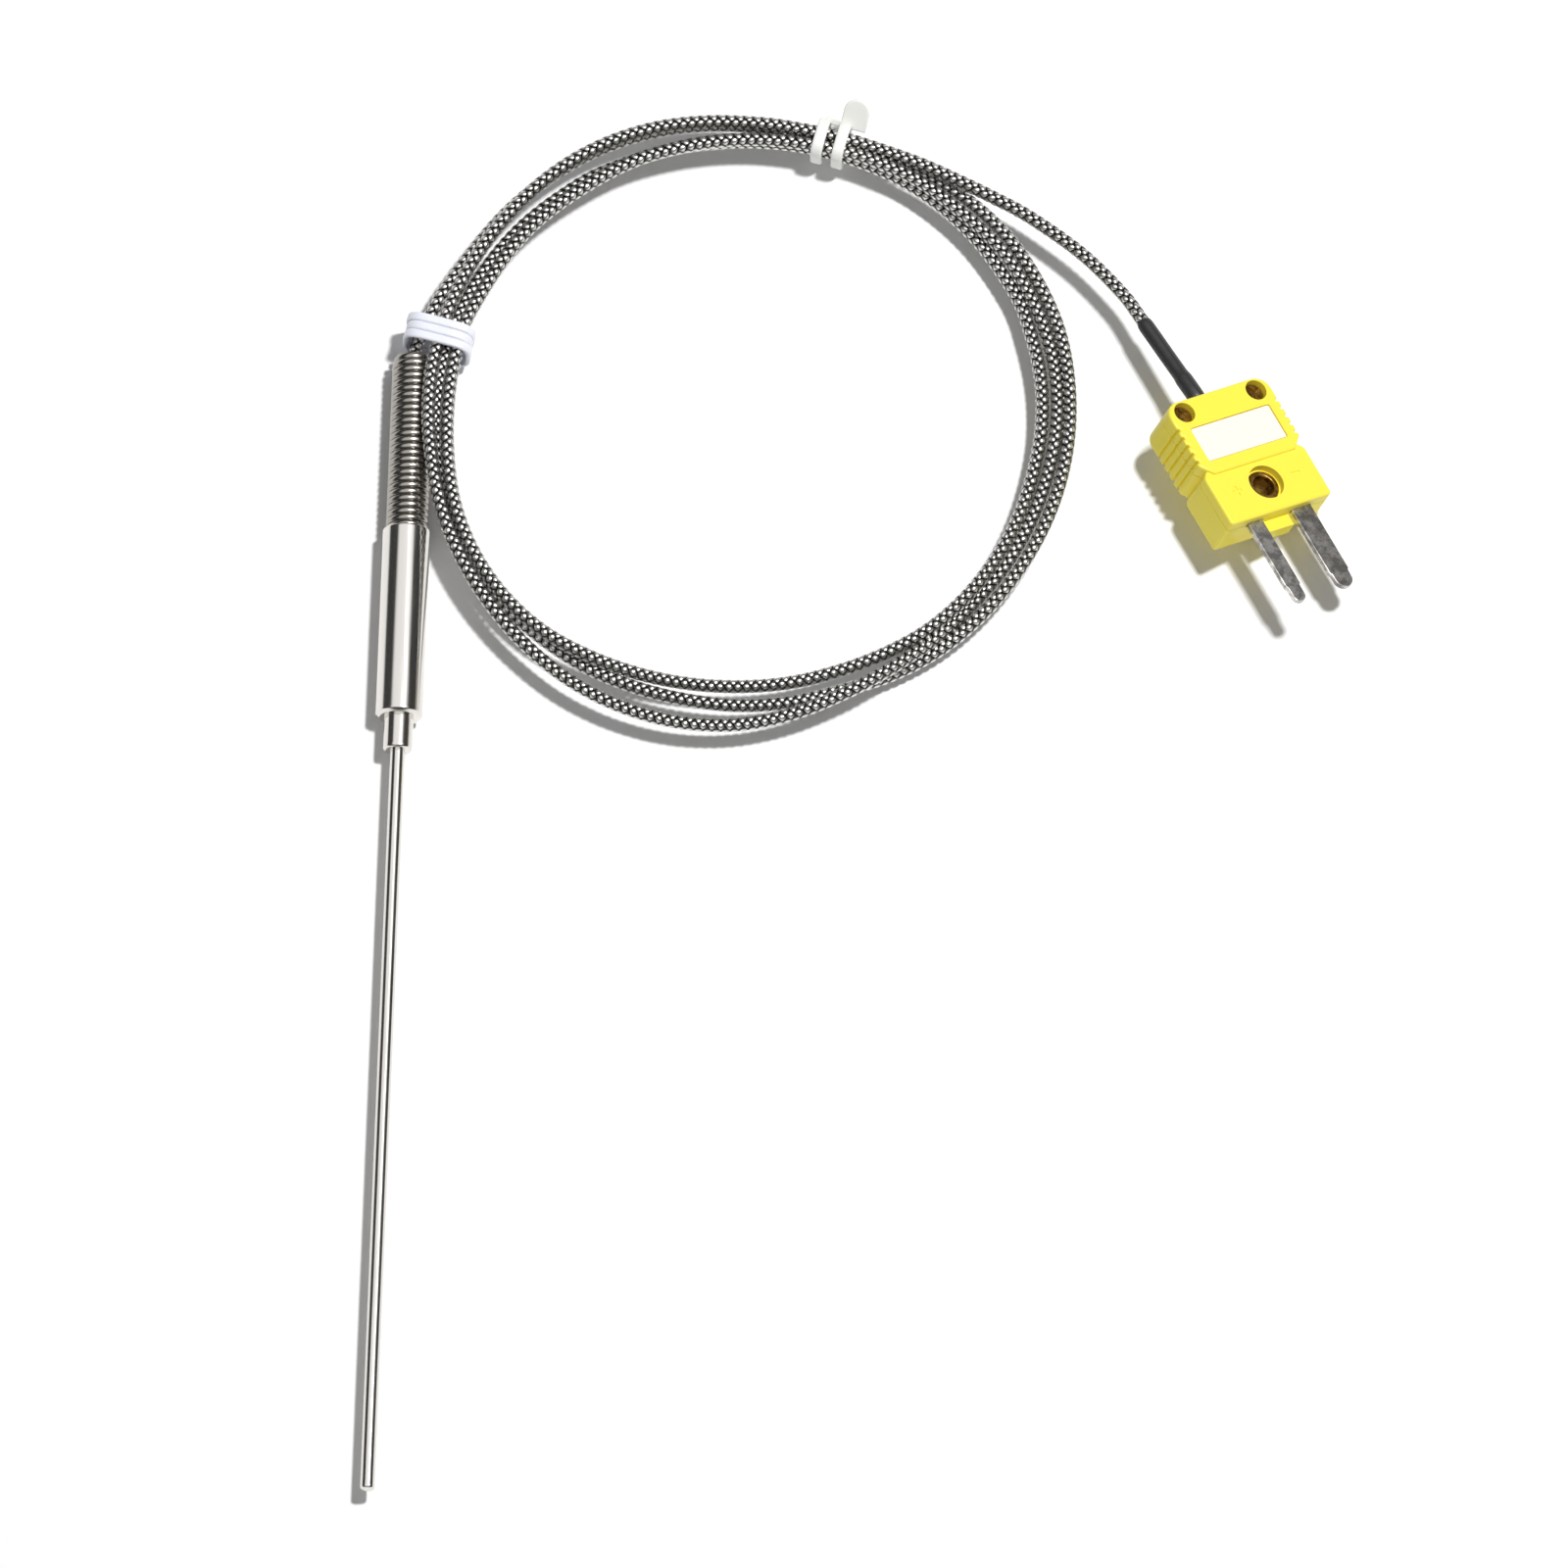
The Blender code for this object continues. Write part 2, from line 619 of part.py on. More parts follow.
def make_potting(resin):
    radius = SLEEVE_DIAMETER / 2 - SLEEVE_WALL - SNUG / 2
    body = place_on_axis(add("potting", rod("potting", radius, POTTING_Y, POTTING_END_Y), resin))
    spare = 1 * MM
    for name, start, end, size in (
        ("sheath", POTTING_Y - spare, SHEATH_BACK_Y + SNUG, SHEATH_DIAMETER),
        ("cable", CABLE_START_Y - SNUG, POTTING_END_Y + spare, CABLE_DIAMETER),
    ):
        hole = rod("hole", size / 2 + SNUG, start, end)
        cut(body, f"potting_{name}", hole).location.z = AXIS_Z
    for label, side in SIDES:
        front = conductor_path(side)
        front[0] = Vector((front[0].x, SHEATH_BACK_Y - 0.2 * MM, AXIS_Z))
        back = core_wire_path(side)
        back[-1] = back[-1] + Vector((0, 0.5 * MM, 0))
        for part, path, size in (
            ("front", front, CONDUCTOR_DIAMETER),
            ("back", back, CORE_WIRE_DIAMETER),
        ):
            channel = wire_cutter(f"channel_{part}_{label}", path, size / 2 + SNUG)
            combine(body, channel, "DIFFERENCE")
        reach = SPLICE_DIAMETER / 2 + SNUG
        pocket = rod("pocket", reach, SPLICE_Y - SNUG, SPLICE_Y + SPLICE_LENGTH + SNUG, sides=12)
        cut(body, f"pocket_{label}", pocket).location = (side * SPLICE_SPACING / 2, 0, AXIS_Z)
    return body


def make_spring(steel):
    """A close-wound helix whose last turns draw in towards the cable."""
    radius = SPRING_DIAMETER / 2 - SPRING_WIRE / 2
    end_radius = SPRING_END_DIAMETER / 2 - SPRING_WIRE / 2
    start_y = SPRING_Y - SPRING_SEAT + SPRING_WIRE / 2
    turns = (END_Y - SPRING_WIRE / 2 - start_y) / SPRING_PITCH
    per_turn = 16
    count = round(turns * per_turn)
    centres = []
    sections = []
    for k in range(count + 1):
        turn = turns * k / count
        angle = 2 * math.pi * turn
        draw = blend((turn - turns + SPRING_TAPER_TURNS) / SPRING_TAPER_TURNS)
        reach = radius + (end_radius - radius) * draw
        out = Vector((math.cos(angle), 0, math.sin(angle)))
        centre = out * reach + Vector((0, start_y + turn * SPRING_PITCH, AXIS_Z))
        centres.append(centre)
        sides = 6
        ring = []
        for i in range(sides):
            a = 2 * math.pi * (i + 0.5) / sides
            ring.append((out * math.cos(a) + Vector((0, 1, 0)) * math.sin(a)) * SPRING_WIRE / 2)
        sections.append(ring)
    mesh = sweep("strain_relief_spring", centres, sections, closed=False)
    return add("strain_relief_spring", mesh, steel)


# Cable
def lead_in_knots():
    """The cable's way out of the potting, through the spring and up to the coil."""
    return [
        Vector((0, CABLE_START_Y, AXIS_Z)),
        Vector((0, SPRING_Y, AXIS_Z)),
        Vector((0, END_Y - 4 * MM, AXIS_Z)),
        Vector((0.15 * MM, END_Y + 0.5 * MM, AXIS_Z)),
        *[coil_knot(*knot) for knot in LEAD_IN_JOINS],
    ]


def lead_out_knots(entry, heading):
    """The cable's way from the coil to the plug, through points chosen by eye."""
    inside = CHAMBER_FROM + PLUG_LENGTH / 2 - 0.4 * MM
    return [
        coil_knot(*LEAD_OUT_LEAVES),
        Vector((83.4, 104.8, 6.0)) * MM,
        Vector((90.6, 99.6, 6.2)) * MM,
        Vector((96.2, 94.0, 6.4)) * MM,
        Vector((99.1, 89.9, 6.9)) * MM,
        Vector((103.1, 83.85, 7.85)) * MM,
        entry - heading * 1.5 * MM,
        entry,
        entry + heading * inside,
    ]


def clear_of_spring(point):
    """The point itself, or the nearest one that is clear of the spring."""
    from_axis = Vector((point.x, 0, point.z - AXIS_Z))
    reach = SPRING_DIAMETER / 2 + GAP
    if point.y > END_Y + GAP or from_axis.length >= reach:
        return point
    return Vector((0, point.y, AXIS_Z)) + from_axis.normalized() * reach


def make_coil(braid):
    """The outer shape of the bundle of turns, closed on itself."""
    stations = 80
    angles = [360 * k / stations for k in range(stations)]
    # The first turn joins the bundle and the last one leaves it within a fraction of a degree.
    for joint in (TURNS[0][0][0], TURNS[-1][-1][0]):
        angles += [joint - 0.2, joint + 0.2]
    centres = []
    sections = []
    for angle in sorted(angles):
        out_low, out_high, up_low, up_high = bundle_at(angle)
        turn = math.radians(angle)
        out = Vector((-math.cos(turn), math.sin(turn), 0))
        centre = coil_point(angle, (out_low + out_high) / 2, (up_low + up_high) / 2)
        outline = rounded((out_high - out_low) / 2, (up_high - up_low) / 2, 16)
        points = [centre + out * a + Vector((0, 0, b)) for a, b in outline]
        centres.append(centre)
        sections.append([clear_of_spring(point) - centre for point in points])
    return add("cable_coil", sweep("cable_coil", centres, sections), braid)


def make_leads(braid, entry, heading):
    step = CABLE_DIAMETER * 2.2
    lead_in = smooth_path(lead_in_knots(), step)
    wire("cable_lead_in", lead_in, CABLE_DIAMETER / 2, braid)
    lead_out = smooth_path(lead_out_knots(entry, heading), step)
    wire("cable_lead_out", lead_out, CABLE_DIAMETER / 2, braid)
    return lead_out


def make_shrink(rubber, lead_out):
    """A shrunk tube over the last stretch of the cable, with a thicker collar at the plug."""
    backwards = list(reversed(lead_out))[1:]
    stretch = cut_short(backwards, SHRINK_LENGTH)
    centres = []
    outer_rings = []
    inner_rings = []
    sides = 12
    travelled = 0.0
    bore = CABLE_DIAMETER / 2 + SNUG
    for i, centre in enumerate(stretch):
        before = stretch[max(i - 1, 0)]
        after = stretch[min(i + 1, len(stretch) - 1)]
        along = (after - before).normalized()
        side = along.cross(Vector((0, 0, 1))).normalized()
        up = side.cross(along)
        travelled += (centre - before).length
        collar = 1 - blend((travelled - 5.0 * MM) / (1.0 * MM))
        wall = SHRINK_WALL + (SHRINK_COLLAR_WALL - SHRINK_WALL) * collar
        circle = [
            side * math.cos(2 * math.pi * k / sides) + up * math.sin(2 * math.pi * k / sides)
            for k in range(sides)
        ]
        centres.append(centre)
        outer_rings.append([p * (bore + wall) for p in circle])
        inner_rings.append([p * bore for p in circle])
    bm = bmesh.new()
    outer = [[bm.verts.new(c + p) for p in ring] for c, ring in zip(centres, outer_rings)]
    inner = [[bm.verts.new(c + p) for p in ring] for c, ring in zip(centres, inner_rings)]
    bridge(bm, outer + inner[::-1], closed=True)
    return add("heat_shrink_sleeve", mesh_from("heat_shrink_sleeve", bm), rubber)


# Ties
def tie_frame(angle):
    """Outward and running directions of the bundle at an angle."""
    turn = math.radians(angle)
    out = Vector((-math.cos(turn), math.sin(turn), 0))
    return out, Vector((math.sin(turn), math.cos(turn), 0))


def band_loop(name, middle, out, running, half_out, half_up, profile):
    """A loop round the bundle with a cross-section of (thickness, along) points."""
    up = Vector((0, 0, 1))
    count = 36
    outline = rounded(half_out, half_up, count, power=5.0)
    centres = []
    sections = []
    for k in range(count):
        a, b = outline[k]
        before = outline[k - 1]
        after = outline[(k + 1) % count]
        normal = (out * (after[1] - before[1]) - up * (after[0] - before[0])).normalized()
        centres.append(middle + out * a + up * b)
        sections.append([normal * t + running * r for t, r in profile])
    return sweep(name, centres, sections)


def make_top_tie(nylon):
    """A strap bent double: two bands round the bundle, and a folded tab that stands out."""
    out, running = tie_frame(TOP_TIE_AT)
    out_low, out_high, up_low, up_high = bundle_near(TOP_TIE_AT)
    middle = coil_point(TOP_TIE_AT, (out_low + out_high) / 2, (up_low + up_high) / 2)
    half_out = (out_high - out_low) / 2 + SNUG
    half_up = (up_high - up_low) / 2 + SNUG
    width = TOP_TIE_BAND / 2
    thick = TIE_THICKNESS
    profile = [(0, -width), (thick, -width), (thick, width), (0, width)]
    bands = []
    for side in (-1, 1):
        at = middle + running * (side * TOP_TIE_SPACING / 2)
        bands.append(band_loop("tie_band", at, out, running, half_out, half_up, profile))
    tie = add("tie_top", bands[0], nylon)
    other = add("tie_top_second_band", bands[1], None, smooth=False)
    combine(tie, other, "UNION")

    tab_width, tab_height = TOP_TIE_TAB
    left = TOP_TIE_SPACING / 2 - TOP_TIE_BAND / 2
    right = left + tab_width
    round_at = tab_height - tab_width / 2
    outline = [(-TOP_TIE_SPACING / 2, 0), (right, 0)]
    for k in range(9):
        a = math.pi * k / 8
        outline.append(
            (
                (left + right) / 2 + math.cos(a) * tab_width / 2,
                round_at + math.sin(a) * tab_width / 2,
            )
        )
    outline += [(left, TOP_TIE_STRAP), (-TOP_TIE_SPACING / 2, TOP_TIE_STRAP)]
    plate = prism("tie_tab", outline, -TOP_TIE_TAB_THICKNESS / 2, TOP_TIE_TAB_THICKNESS / 2)
    tab = add("tie_top_tab", plate, None, smooth=False)
    lean = (out + Vector((0, 0, 0.75))).normalized()
    facing = running.cross(lean).normalized()
    root = middle + out * (half_out + thick * 0.3) + Vector((0, 0, half_up * 0.45))
    turned = Matrix((running, lean, facing)).transposed().to_4x4()
    tab.matrix_world = Matrix.Translation(root) @ turned
    combine(tie, tab, "UNION")
    return tie


def make_side_tie(nylon):
    """A soft tie wound three times round the coil and the cable that comes out of the spring."""
    out, running = tie_frame(SIDE_TIE_AT)
    out_low, out_high, up_low, up_high = bundle_near(SIDE_TIE_AT)
    out_low -= SNUG
    out_high += GAP + CABLE_DIAMETER + SIDE_TIE_SLACK
    up_low -= SIDE_TIE_DROP
    up_high += SNUG
    half_out = (out_high - out_low) / 2
    half_up = (up_high - up_low) / 2
    centre = coil_point(SIDE_TIE_AT, (out_low + out_high) / 2, (up_low + up_high) / 2)
    total = SIDE_TIE_BAND * SIDE_TIE_WRAPS
    profile = [(0, total / 2), (0, -total / 2)]
    for wrap in range(SIDE_TIE_WRAPS):
        start = -total / 2 + wrap * SIDE_TIE_BAND
        for t, share in ((0.7, 0.08), (1.0, 0.35), (1.0, 0.65), (0.7, 0.92)):
            profile.append((TIE_THICKNESS * t, start + SIDE_TIE_BAND * share))
    mesh = band_loop("tie_side", centre, out, running, half_out, half_up, profile)
    return add("tie_side", mesh, nylon)


# Plug
def block_outline(x0, x1, half, rear, front, rear_steps, front_steps):
    """A rectangle in plan whose rear and front corners are rounded or chamfered."""
    points = []
    for cx, cy, size, steps, start in (
        (x1 - front, half - front, front, front_steps, 0),
        (x0 + rear, half - rear, rear, rear_steps, 90),
        (x0 + rear, -half + rear, rear, rear_steps, 180),
        (x1 - front, -half + front, front, front_steps, 270),
    ):
        for k in range(steps + 1):
            a = math.radians(start + 90 * k / steps)
            points.append((cx + size * math.cos(a), cy + size * math.sin(a)))
    return points


def make_shell(name, plastic, parent, low, rear_top, front_top, top_edge, bottom_edge):
    """One half of the plug's body: a rear and a front block that meet in a notch."""
    half = PLUG_WIDTH / 2
    rear = block_outline(
        -PLUG_LENGTH / 2, NOTCH_AT + NOTCH_DEPTH, half, REAR_ROUND, 2 * NOTCH_DEPTH, 5, 1
    )
    front = block_outline(
        NOTCH_AT - NOTCH_DEPTH, PLUG_LENGTH / 2, half, 2 * NOTCH_DEPTH, FRONT_ROUND, 1, 3
    )
    shell = add(name, prism(name, rear, low, rear_top, top_edge, bottom_edge), plastic, parent)
    nose = add(
        f"{name}_front",
        prism("front", front, low, front_top, top_edge, bottom_edge),
        None,
        parent,
        smooth=False,
    )
    combine(shell, nose, "UNION")
    grooves = []
    for side in (-1, 1):
        for k in range(GRIP_GROOVES):
            at = NOTCH_AT - NOTCH_DEPTH - GRIP_MARGIN - GRIP_PITCH * (k + 0.5)
            inner = side * (half - GRIP_GROOVE_DEPTH)
            outer = side * (half + 1 * MM)
            low_corner = (at - GRIP_GROOVE_WIDTH / 2, min(inner, outer), low - 1 * MM)
            high_corner = (at + GRIP_GROOVE_WIDTH / 2, max(inner, outer), rear_top + 1 * MM)
            grooves.append((low_corner, high_corner))
    cut(shell, f"{name}_grip_grooves", comb("grooves", grooves), parent)
    return shell


def pin_width(label):
    return PIN_POSITIVE_WIDTH if label == "positive" else PIN_NEGATIVE_WIDTH


SHRINK_COLLAR_RADIUS = CABLE_DIAMETER / 2 + SNUG + SHRINK_COLLAR_WALL


def cut_common_recesses(shell, name, parent):
    """Room for the pins and for the cable, which lie in the joint between the halves."""
    for label, side in SIDES:
        half = pin_width(label) / 2 + SNUG
        at = side * PIN_SPACING / 2
        slot = box(
            "slot",
            (PIN_INNER_END - SNUG, at - half, PLUG_SPLIT - PIN_THICKNESS / 2 - SNUG),
            (PLUG_LENGTH, at + half, PLUG_SPLIT + PIN_THICKNESS / 2 + SNUG),
        )
        cut(shell, f"{name}_slot_{label}", slot, parent)
    reach = SHRINK_COLLAR_RADIUS + SNUG
    start = -PLUG_LENGTH / 2 - 1 * MM
    end = CHAMBER_FROM + 0.3 * MM
    entry = rod("entry", reach, start, end, axis="X")
    cut(shell, f"{name}_entry", entry, parent).location = (0, CABLE_ENTRY_Y, PLUG_SPLIT)


def make_base(plastic, parent):
    low = -PLUG_THICKNESS / 2
    high = PLUG_SPLIT - SNUG / 2
    base = make_shell("plug_base", plastic, parent, low, high, high, 0.0, PLUG_EDGE)
    tongue = box(
        "tongue",
        (PLUG_LENGTH / 2 - 1 * MM, -TONGUE_WIDTH / 2, TONGUE_BOTTOM),
        (PLUG_LENGTH / 2 + TONGUE_LENGTH, TONGUE_WIDTH / 2, TONGUE_TOP),
    )
    combine(base, add("plug_base_tongue", tongue, None, parent, smooth=False), "UNION")
    half = CHAMBER_WIDTH / 2
    room = box("room", (CHAMBER_FROM, -half, CHAMBER_FLOOR), (CHAMBER_TO, half, high + 1 * MM))
    cut(base, "plug_base_chamber", room, parent)
    cut_common_recesses(base, "plug_base", parent)
    for label, side in SIDES:
        bottom = PLUG_SPLIT - COVER_SCREW_LENGTH
        hole = post("hole", COVER_SCREW_SHANK / 2 + SNUG, bottom, high + 1 * MM, 12)
        place = (COVER_SCREW_X, side * COVER_SCREW_Y, 0)
        cut(base, f"plug_base_screw_hole_{label}", hole, parent).location = place
    shaft = post("shaft", EYELET_DIAMETER / 2 + SNUG, low - 1 * MM, high + 1 * MM)
    cut(base, "plug_base_eyelet_hole", shaft, parent).location.x = EYELET_X
    seat = post("seat", EYELET_RECESS_DIAMETER / 2, low - 1 * MM, low + EYELET_SEAT_DEPTH_BELOW)
    cut(base, "plug_base_eyelet_seat", seat, parent).location.x = EYELET_X
    return base


def make_cover(plastic, parent):
    low = PLUG_SPLIT + SNUG / 2
    top = PLUG_THICKNESS / 2
    front_top = top - FRONT_STEP
    cover = make_shell("plug_cover", plastic, parent, low, top, front_top, PLUG_EDGE, 0.0)
    half = CHAMBER_WIDTH / 2
    room = box("room", (CHAMBER_FROM, -half, low - 1 * MM), (CHAMBER_TO, half, CHAMBER_TOP))
    cut(cover, "plug_cover_chamber", room, parent)
    cut_common_recesses(cover, "plug_cover", parent)
    panel = box(
        "panel",
        (LABEL_FROM, -LABEL_WIDTH / 2, top - LABEL_RECESS),
        (LABEL_FROM + LABEL_LENGTH, LABEL_WIDTH / 2, top + 1 * MM),
    )
    cut(cover, "plug_cover_label_recess", panel, parent)
    for label, side in SIDES:
        place = (COVER_SCREW_X, side * COVER_SCREW_Y, 0)
        hole = post("hole", COVER_SCREW_SHANK / 2 + SNUG, low - 1 * MM, top + 1 * MM, 12)
        cut(cover, f"plug_cover_screw_hole_{label}", hole, parent).location = place
        floor = top - COVER_SCREW_SUNK - COVER_SCREW_HEAD_HEIGHT - SNUG
        head = post("head", COVER_SCREW_HEAD / 2 + SNUG, floor, top + 1 * MM)
        cut(cover, f"plug_cover_screw_recess_{label}", head, parent).location = place
        terminal_top = PLUG_SPLIT + PIN_THICKNESS / 2 + SNUG + TERMINAL_HEAD_HEIGHT + SNUG
        pocket = post("pocket", TERMINAL_HEAD_DIAMETER / 2 + 2 * SNUG, low - 1 * MM, terminal_top, 16)
        at = (TERMINAL_AT, side * PIN_SPACING / 2, 0)
        cut(cover, f"plug_cover_terminal_pocket_{label}", pocket, parent).location = at
    shaft = post("shaft", EYELET_DIAMETER / 2 + SNUG, low - 1 * MM, top + 1 * MM)
    cut(cover, "plug_cover_eyelet_hole", shaft, parent).location.x = EYELET_X
    seat = post(
        "seat", EYELET_RECESS_DIAMETER / 2, PLUG_SPLIT + EYELET_SEAT_ABOVE_SPLIT, top + 1 * MM, 28
    )
    cut(cover, "plug_cover_eyelet_seat", seat, parent).location.x = EYELET_X
    for label, side in SIDES:
        sign = sign_outline(label)
        mark = prism("sign", sign, front_top - SIGN_DEPTH, front_top + 1 * MM)
        place = (SIGN_X, side * SIGN_Y, 0)
        cut(cover, f"plug_cover_sign_{label}", mark, parent).location = place
    return cover


def sign_outline(label):
    """The outline of a plus or a minus."""
    long = SIGN_SIZE / 2
    thin = SIGN_STROKE / 2
    if label == "negative":
        return [(-thin, -long), (thin, -long), (thin, long), (-thin, long)]
    quarter = [(long, -thin), (long, thin), (thin, thin)]
    points = []
    for k in range(4):
        a = math.pi / 2 * k
        for x, y in quarter:
            points.append((x * math.cos(a) - y * math.sin(a), x * math.sin(a) + y * math.cos(a)))
    return points


def make_label(paper, parent):
    bottom = PLUG_THICKNESS / 2 - LABEL_RECESS + SNUG / 2
    mesh = box(
        "label",
        (LABEL_FROM + SNUG, -LABEL_WIDTH / 2 + SNUG, bottom),
        (LABEL_FROM + LABEL_LENGTH - SNUG, LABEL_WIDTH / 2 - SNUG, bottom + LABEL_THICKNESS),
    )
    return add("label_panel", mesh, paper, parent, smooth=False)


def make_pins(metals, parent):
    """Flat blades with a rounded nose; the inner end is the terminal that holds the wire."""
    tip = PLUG_LENGTH / 2 + PIN_REACH
    for label, side in SIDES:
        half = pin_width(label) / 2
        nose = half - PIN_SHOULDER
        upper = [(PIN_INNER_END, half), (tip - PIN_NOSE, half), (tip - PIN_NOSE + PIN_SHOULDER, nose)]
        steps = 6
        for k in range(steps + 1):
            a = math.radians(90 - 90 * k / steps)
            upper.append((tip - nose + nose * math.cos(a), nose * math.sin(a)))
        lower = [(x, -y) for x, y in reversed(upper[:-1])]
        outline = [(x, y) for x, y in upper] + lower
        low = PLUG_SPLIT - PIN_THICKNESS / 2
        blade = prism(f"pin_{label}", outline, low, low + PIN_THICKNESS)
        pin = add(f"pin_{label}", blade, metals[label], parent)
        pin.location.y = side * PIN_SPACING / 2
        hole = post("hole", TERMINAL_SHANK_DIAMETER / 2 + SNUG, low - 1 * MM, low + 2 * MM, 12)
        place = (TERMINAL_AT, side * PIN_SPACING / 2, 0)
        cut(pin, f"pin_hole_{label}", hole, parent).location = place


def screw_mesh(name, head_radius, head_height, shank_radius, shank_length):
    """A pan head on a plain shank, with the underside of the head at zero height."""
    profile = [
        (-shank_length, shank_radius * 0.7),
        (-shank_length + shank_radius * 0.4, shank_radius),
        (0, shank_radius),
        (0, head_radius),
        (head_height * 0.65, head_radius),
        (head_height, head_radius * 0.8),
    ]
    return lathe(name, profile, axis="Z", sides=20)


def add_cross_recess(screw, name, parent, place, top, span):
    thin = span * 0.17
    long = span / 2
    quarter = [(long, -thin), (long, thin), (thin, thin)]
    points = []
    for k in range(4):
        a = math.pi / 2 * k + math.radians(20)
        for x, y in quarter:
            points.append((x * math.cos(a) - y * math.sin(a), x * math.sin(a) + y * math.cos(a)))
    mesh = prism("cross", points, top - span * 0.25, top + 1 * MM)
    cut(screw, name, mesh, parent).location = place


def make_screws(brass, steel, parent):
    for label, side in SIDES:
        bottom = PLUG_THICKNESS / 2 - COVER_SCREW_SUNK - COVER_SCREW_HEAD_HEIGHT
        mesh = screw_mesh(
            "cover_screw",
            COVER_SCREW_HEAD / 2,
            COVER_SCREW_HEAD_HEIGHT,
            COVER_SCREW_SHANK / 2,
            COVER_SCREW_LENGTH,
        )
        name = f"cover_screw_{'left' if side < 0 else 'right'}"
        screw = add(name, mesh, steel, parent)
        screw.location = (COVER_SCREW_X, side * COVER_SCREW_Y, bottom)
        top = bottom + COVER_SCREW_HEAD_HEIGHT
        place = (COVER_SCREW_X, side * COVER_SCREW_Y, 0)
        add_cross_recess(screw, f"{name}_cross", parent, place, top, COVER_SCREW_HEAD * 0.6)
        mesh = screw_mesh(
            "terminal_screw",
            TERMINAL_HEAD_DIAMETER / 2,
            TERMINAL_HEAD_HEIGHT,
            TERMINAL_SHANK_DIAMETER / 2,
            TERMINAL_SHANK_LENGTH,
        )
        name = f"terminal_screw_{label}"
        screw = add(name, mesh, brass, parent)
        seat = PLUG_SPLIT + PIN_THICKNESS / 2 + SNUG
        screw.location = (TERMINAL_AT, side * PIN_SPACING / 2, seat)
        place = (TERMINAL_AT, side * PIN_SPACING / 2, 0)
        top = seat + TERMINAL_HEAD_HEIGHT
        add_cross_recess(screw, f"{name}_cross", parent, place, top, TERMINAL_HEAD_DIAMETER * 0.6)


def make_eyelet(brass, parent):
    """A hollow rivet that clamps the front of the two halves."""
    outer = EYELET_DIAMETER / 2
    inner = outer - EYELET_WALL
    flange = EYELET_FLANGE / 2
    top_seat = PLUG_SPLIT + EYELET_SEAT_ABOVE_SPLIT + SNUG / 2
    low_seat = -PLUG_THICKNESS / 2 + EYELET_SEAT_DEPTH_BELOW - SNUG / 2
    profile = [
        (top_seat + EYELET_FLANGE_THICKNESS, inner + EYELET_WALL * 0.3),
        (top_seat + EYELET_FLANGE_THICKNESS, flange * 0.9),
        (top_seat + EYELET_FLANGE_THICKNESS / 2, flange),
        (top_seat, flange),
        (top_seat, outer),
        (low_seat, outer),
        (low_seat, flange),
        (low_seat - EYELET_FLANGE_THICKNESS / 2, flange),
        (low_seat - EYELET_FLANGE_THICKNESS, flange * 0.9),
        (low_seat - EYELET_FLANGE_THICKNESS, inner + EYELET_WALL * 0.3),
        (low_seat, inner),
        (top_seat, inner),
    ]
    made = add("eyelet", lathe("eyelet", profile, closed=True, axis="Z", sides=24), brass, parent)
    made.location.x = EYELET_X
    return made


def make_tails(alloys, parent):
    """The bared cores of the cable, from its end to the terminal screws."""
    for label, side in SIDES:
        radius = TAIL_DIAMETER / 2
        start = CHAMBER_FROM - 0.3 * MM
        plate = PLUG_SPLIT + PIN_THICKNESS / 2 + SNUG / 2 + radius
        end_x = TERMINAL_AT - TERMINAL_HEAD_DIAMETER / 2 - SNUG - 0.05 * MM
        knots = [
            Vector((start, CABLE_ENTRY_Y + side * (radius + SNUG), PLUG_SPLIT)),
            Vector((start + 0.8 * MM, CABLE_ENTRY_Y + side * 0.7 * MM, PLUG_SPLIT)),
            Vector((start + 2.4 * MM, CABLE_ENTRY_Y / 2 + side * 2.6 * MM, PLUG_SPLIT)),
            Vector((PIN_INNER_END - 0.45 * MM, side * PIN_SPACING / 2, plate - 0.2 * MM)),
            Vector((end_x, side * PIN_SPACING / 2, plate + 0.05 * MM)),
        ]
        wire(f"tail_{label}", knots, radius, alloys[label], parent, resolution=1)


def plug_frame():
    """An empty that holds the plug, rolled on to the lower long edge of its base."""
    frame = bpy.data.objects.new("plug_frame", None)
    bpy.context.scene.collection.objects.link(frame)
    roll = math.radians(-PLUG_ROLL)
    side_reach = PLUG_WIDTH / 2 - PLUG_EDGE
    height = side_reach * math.sin(roll) + PLUG_THICKNESS / 2 * math.cos(roll)
    frame.location = PLUG_AT + Vector((0, 0, height + SNUG / 2))
    frame.rotation_euler = Euler((math.radians(PLUG_ROLL), 0, math.radians(PLUG_HEADING)))
    return frame


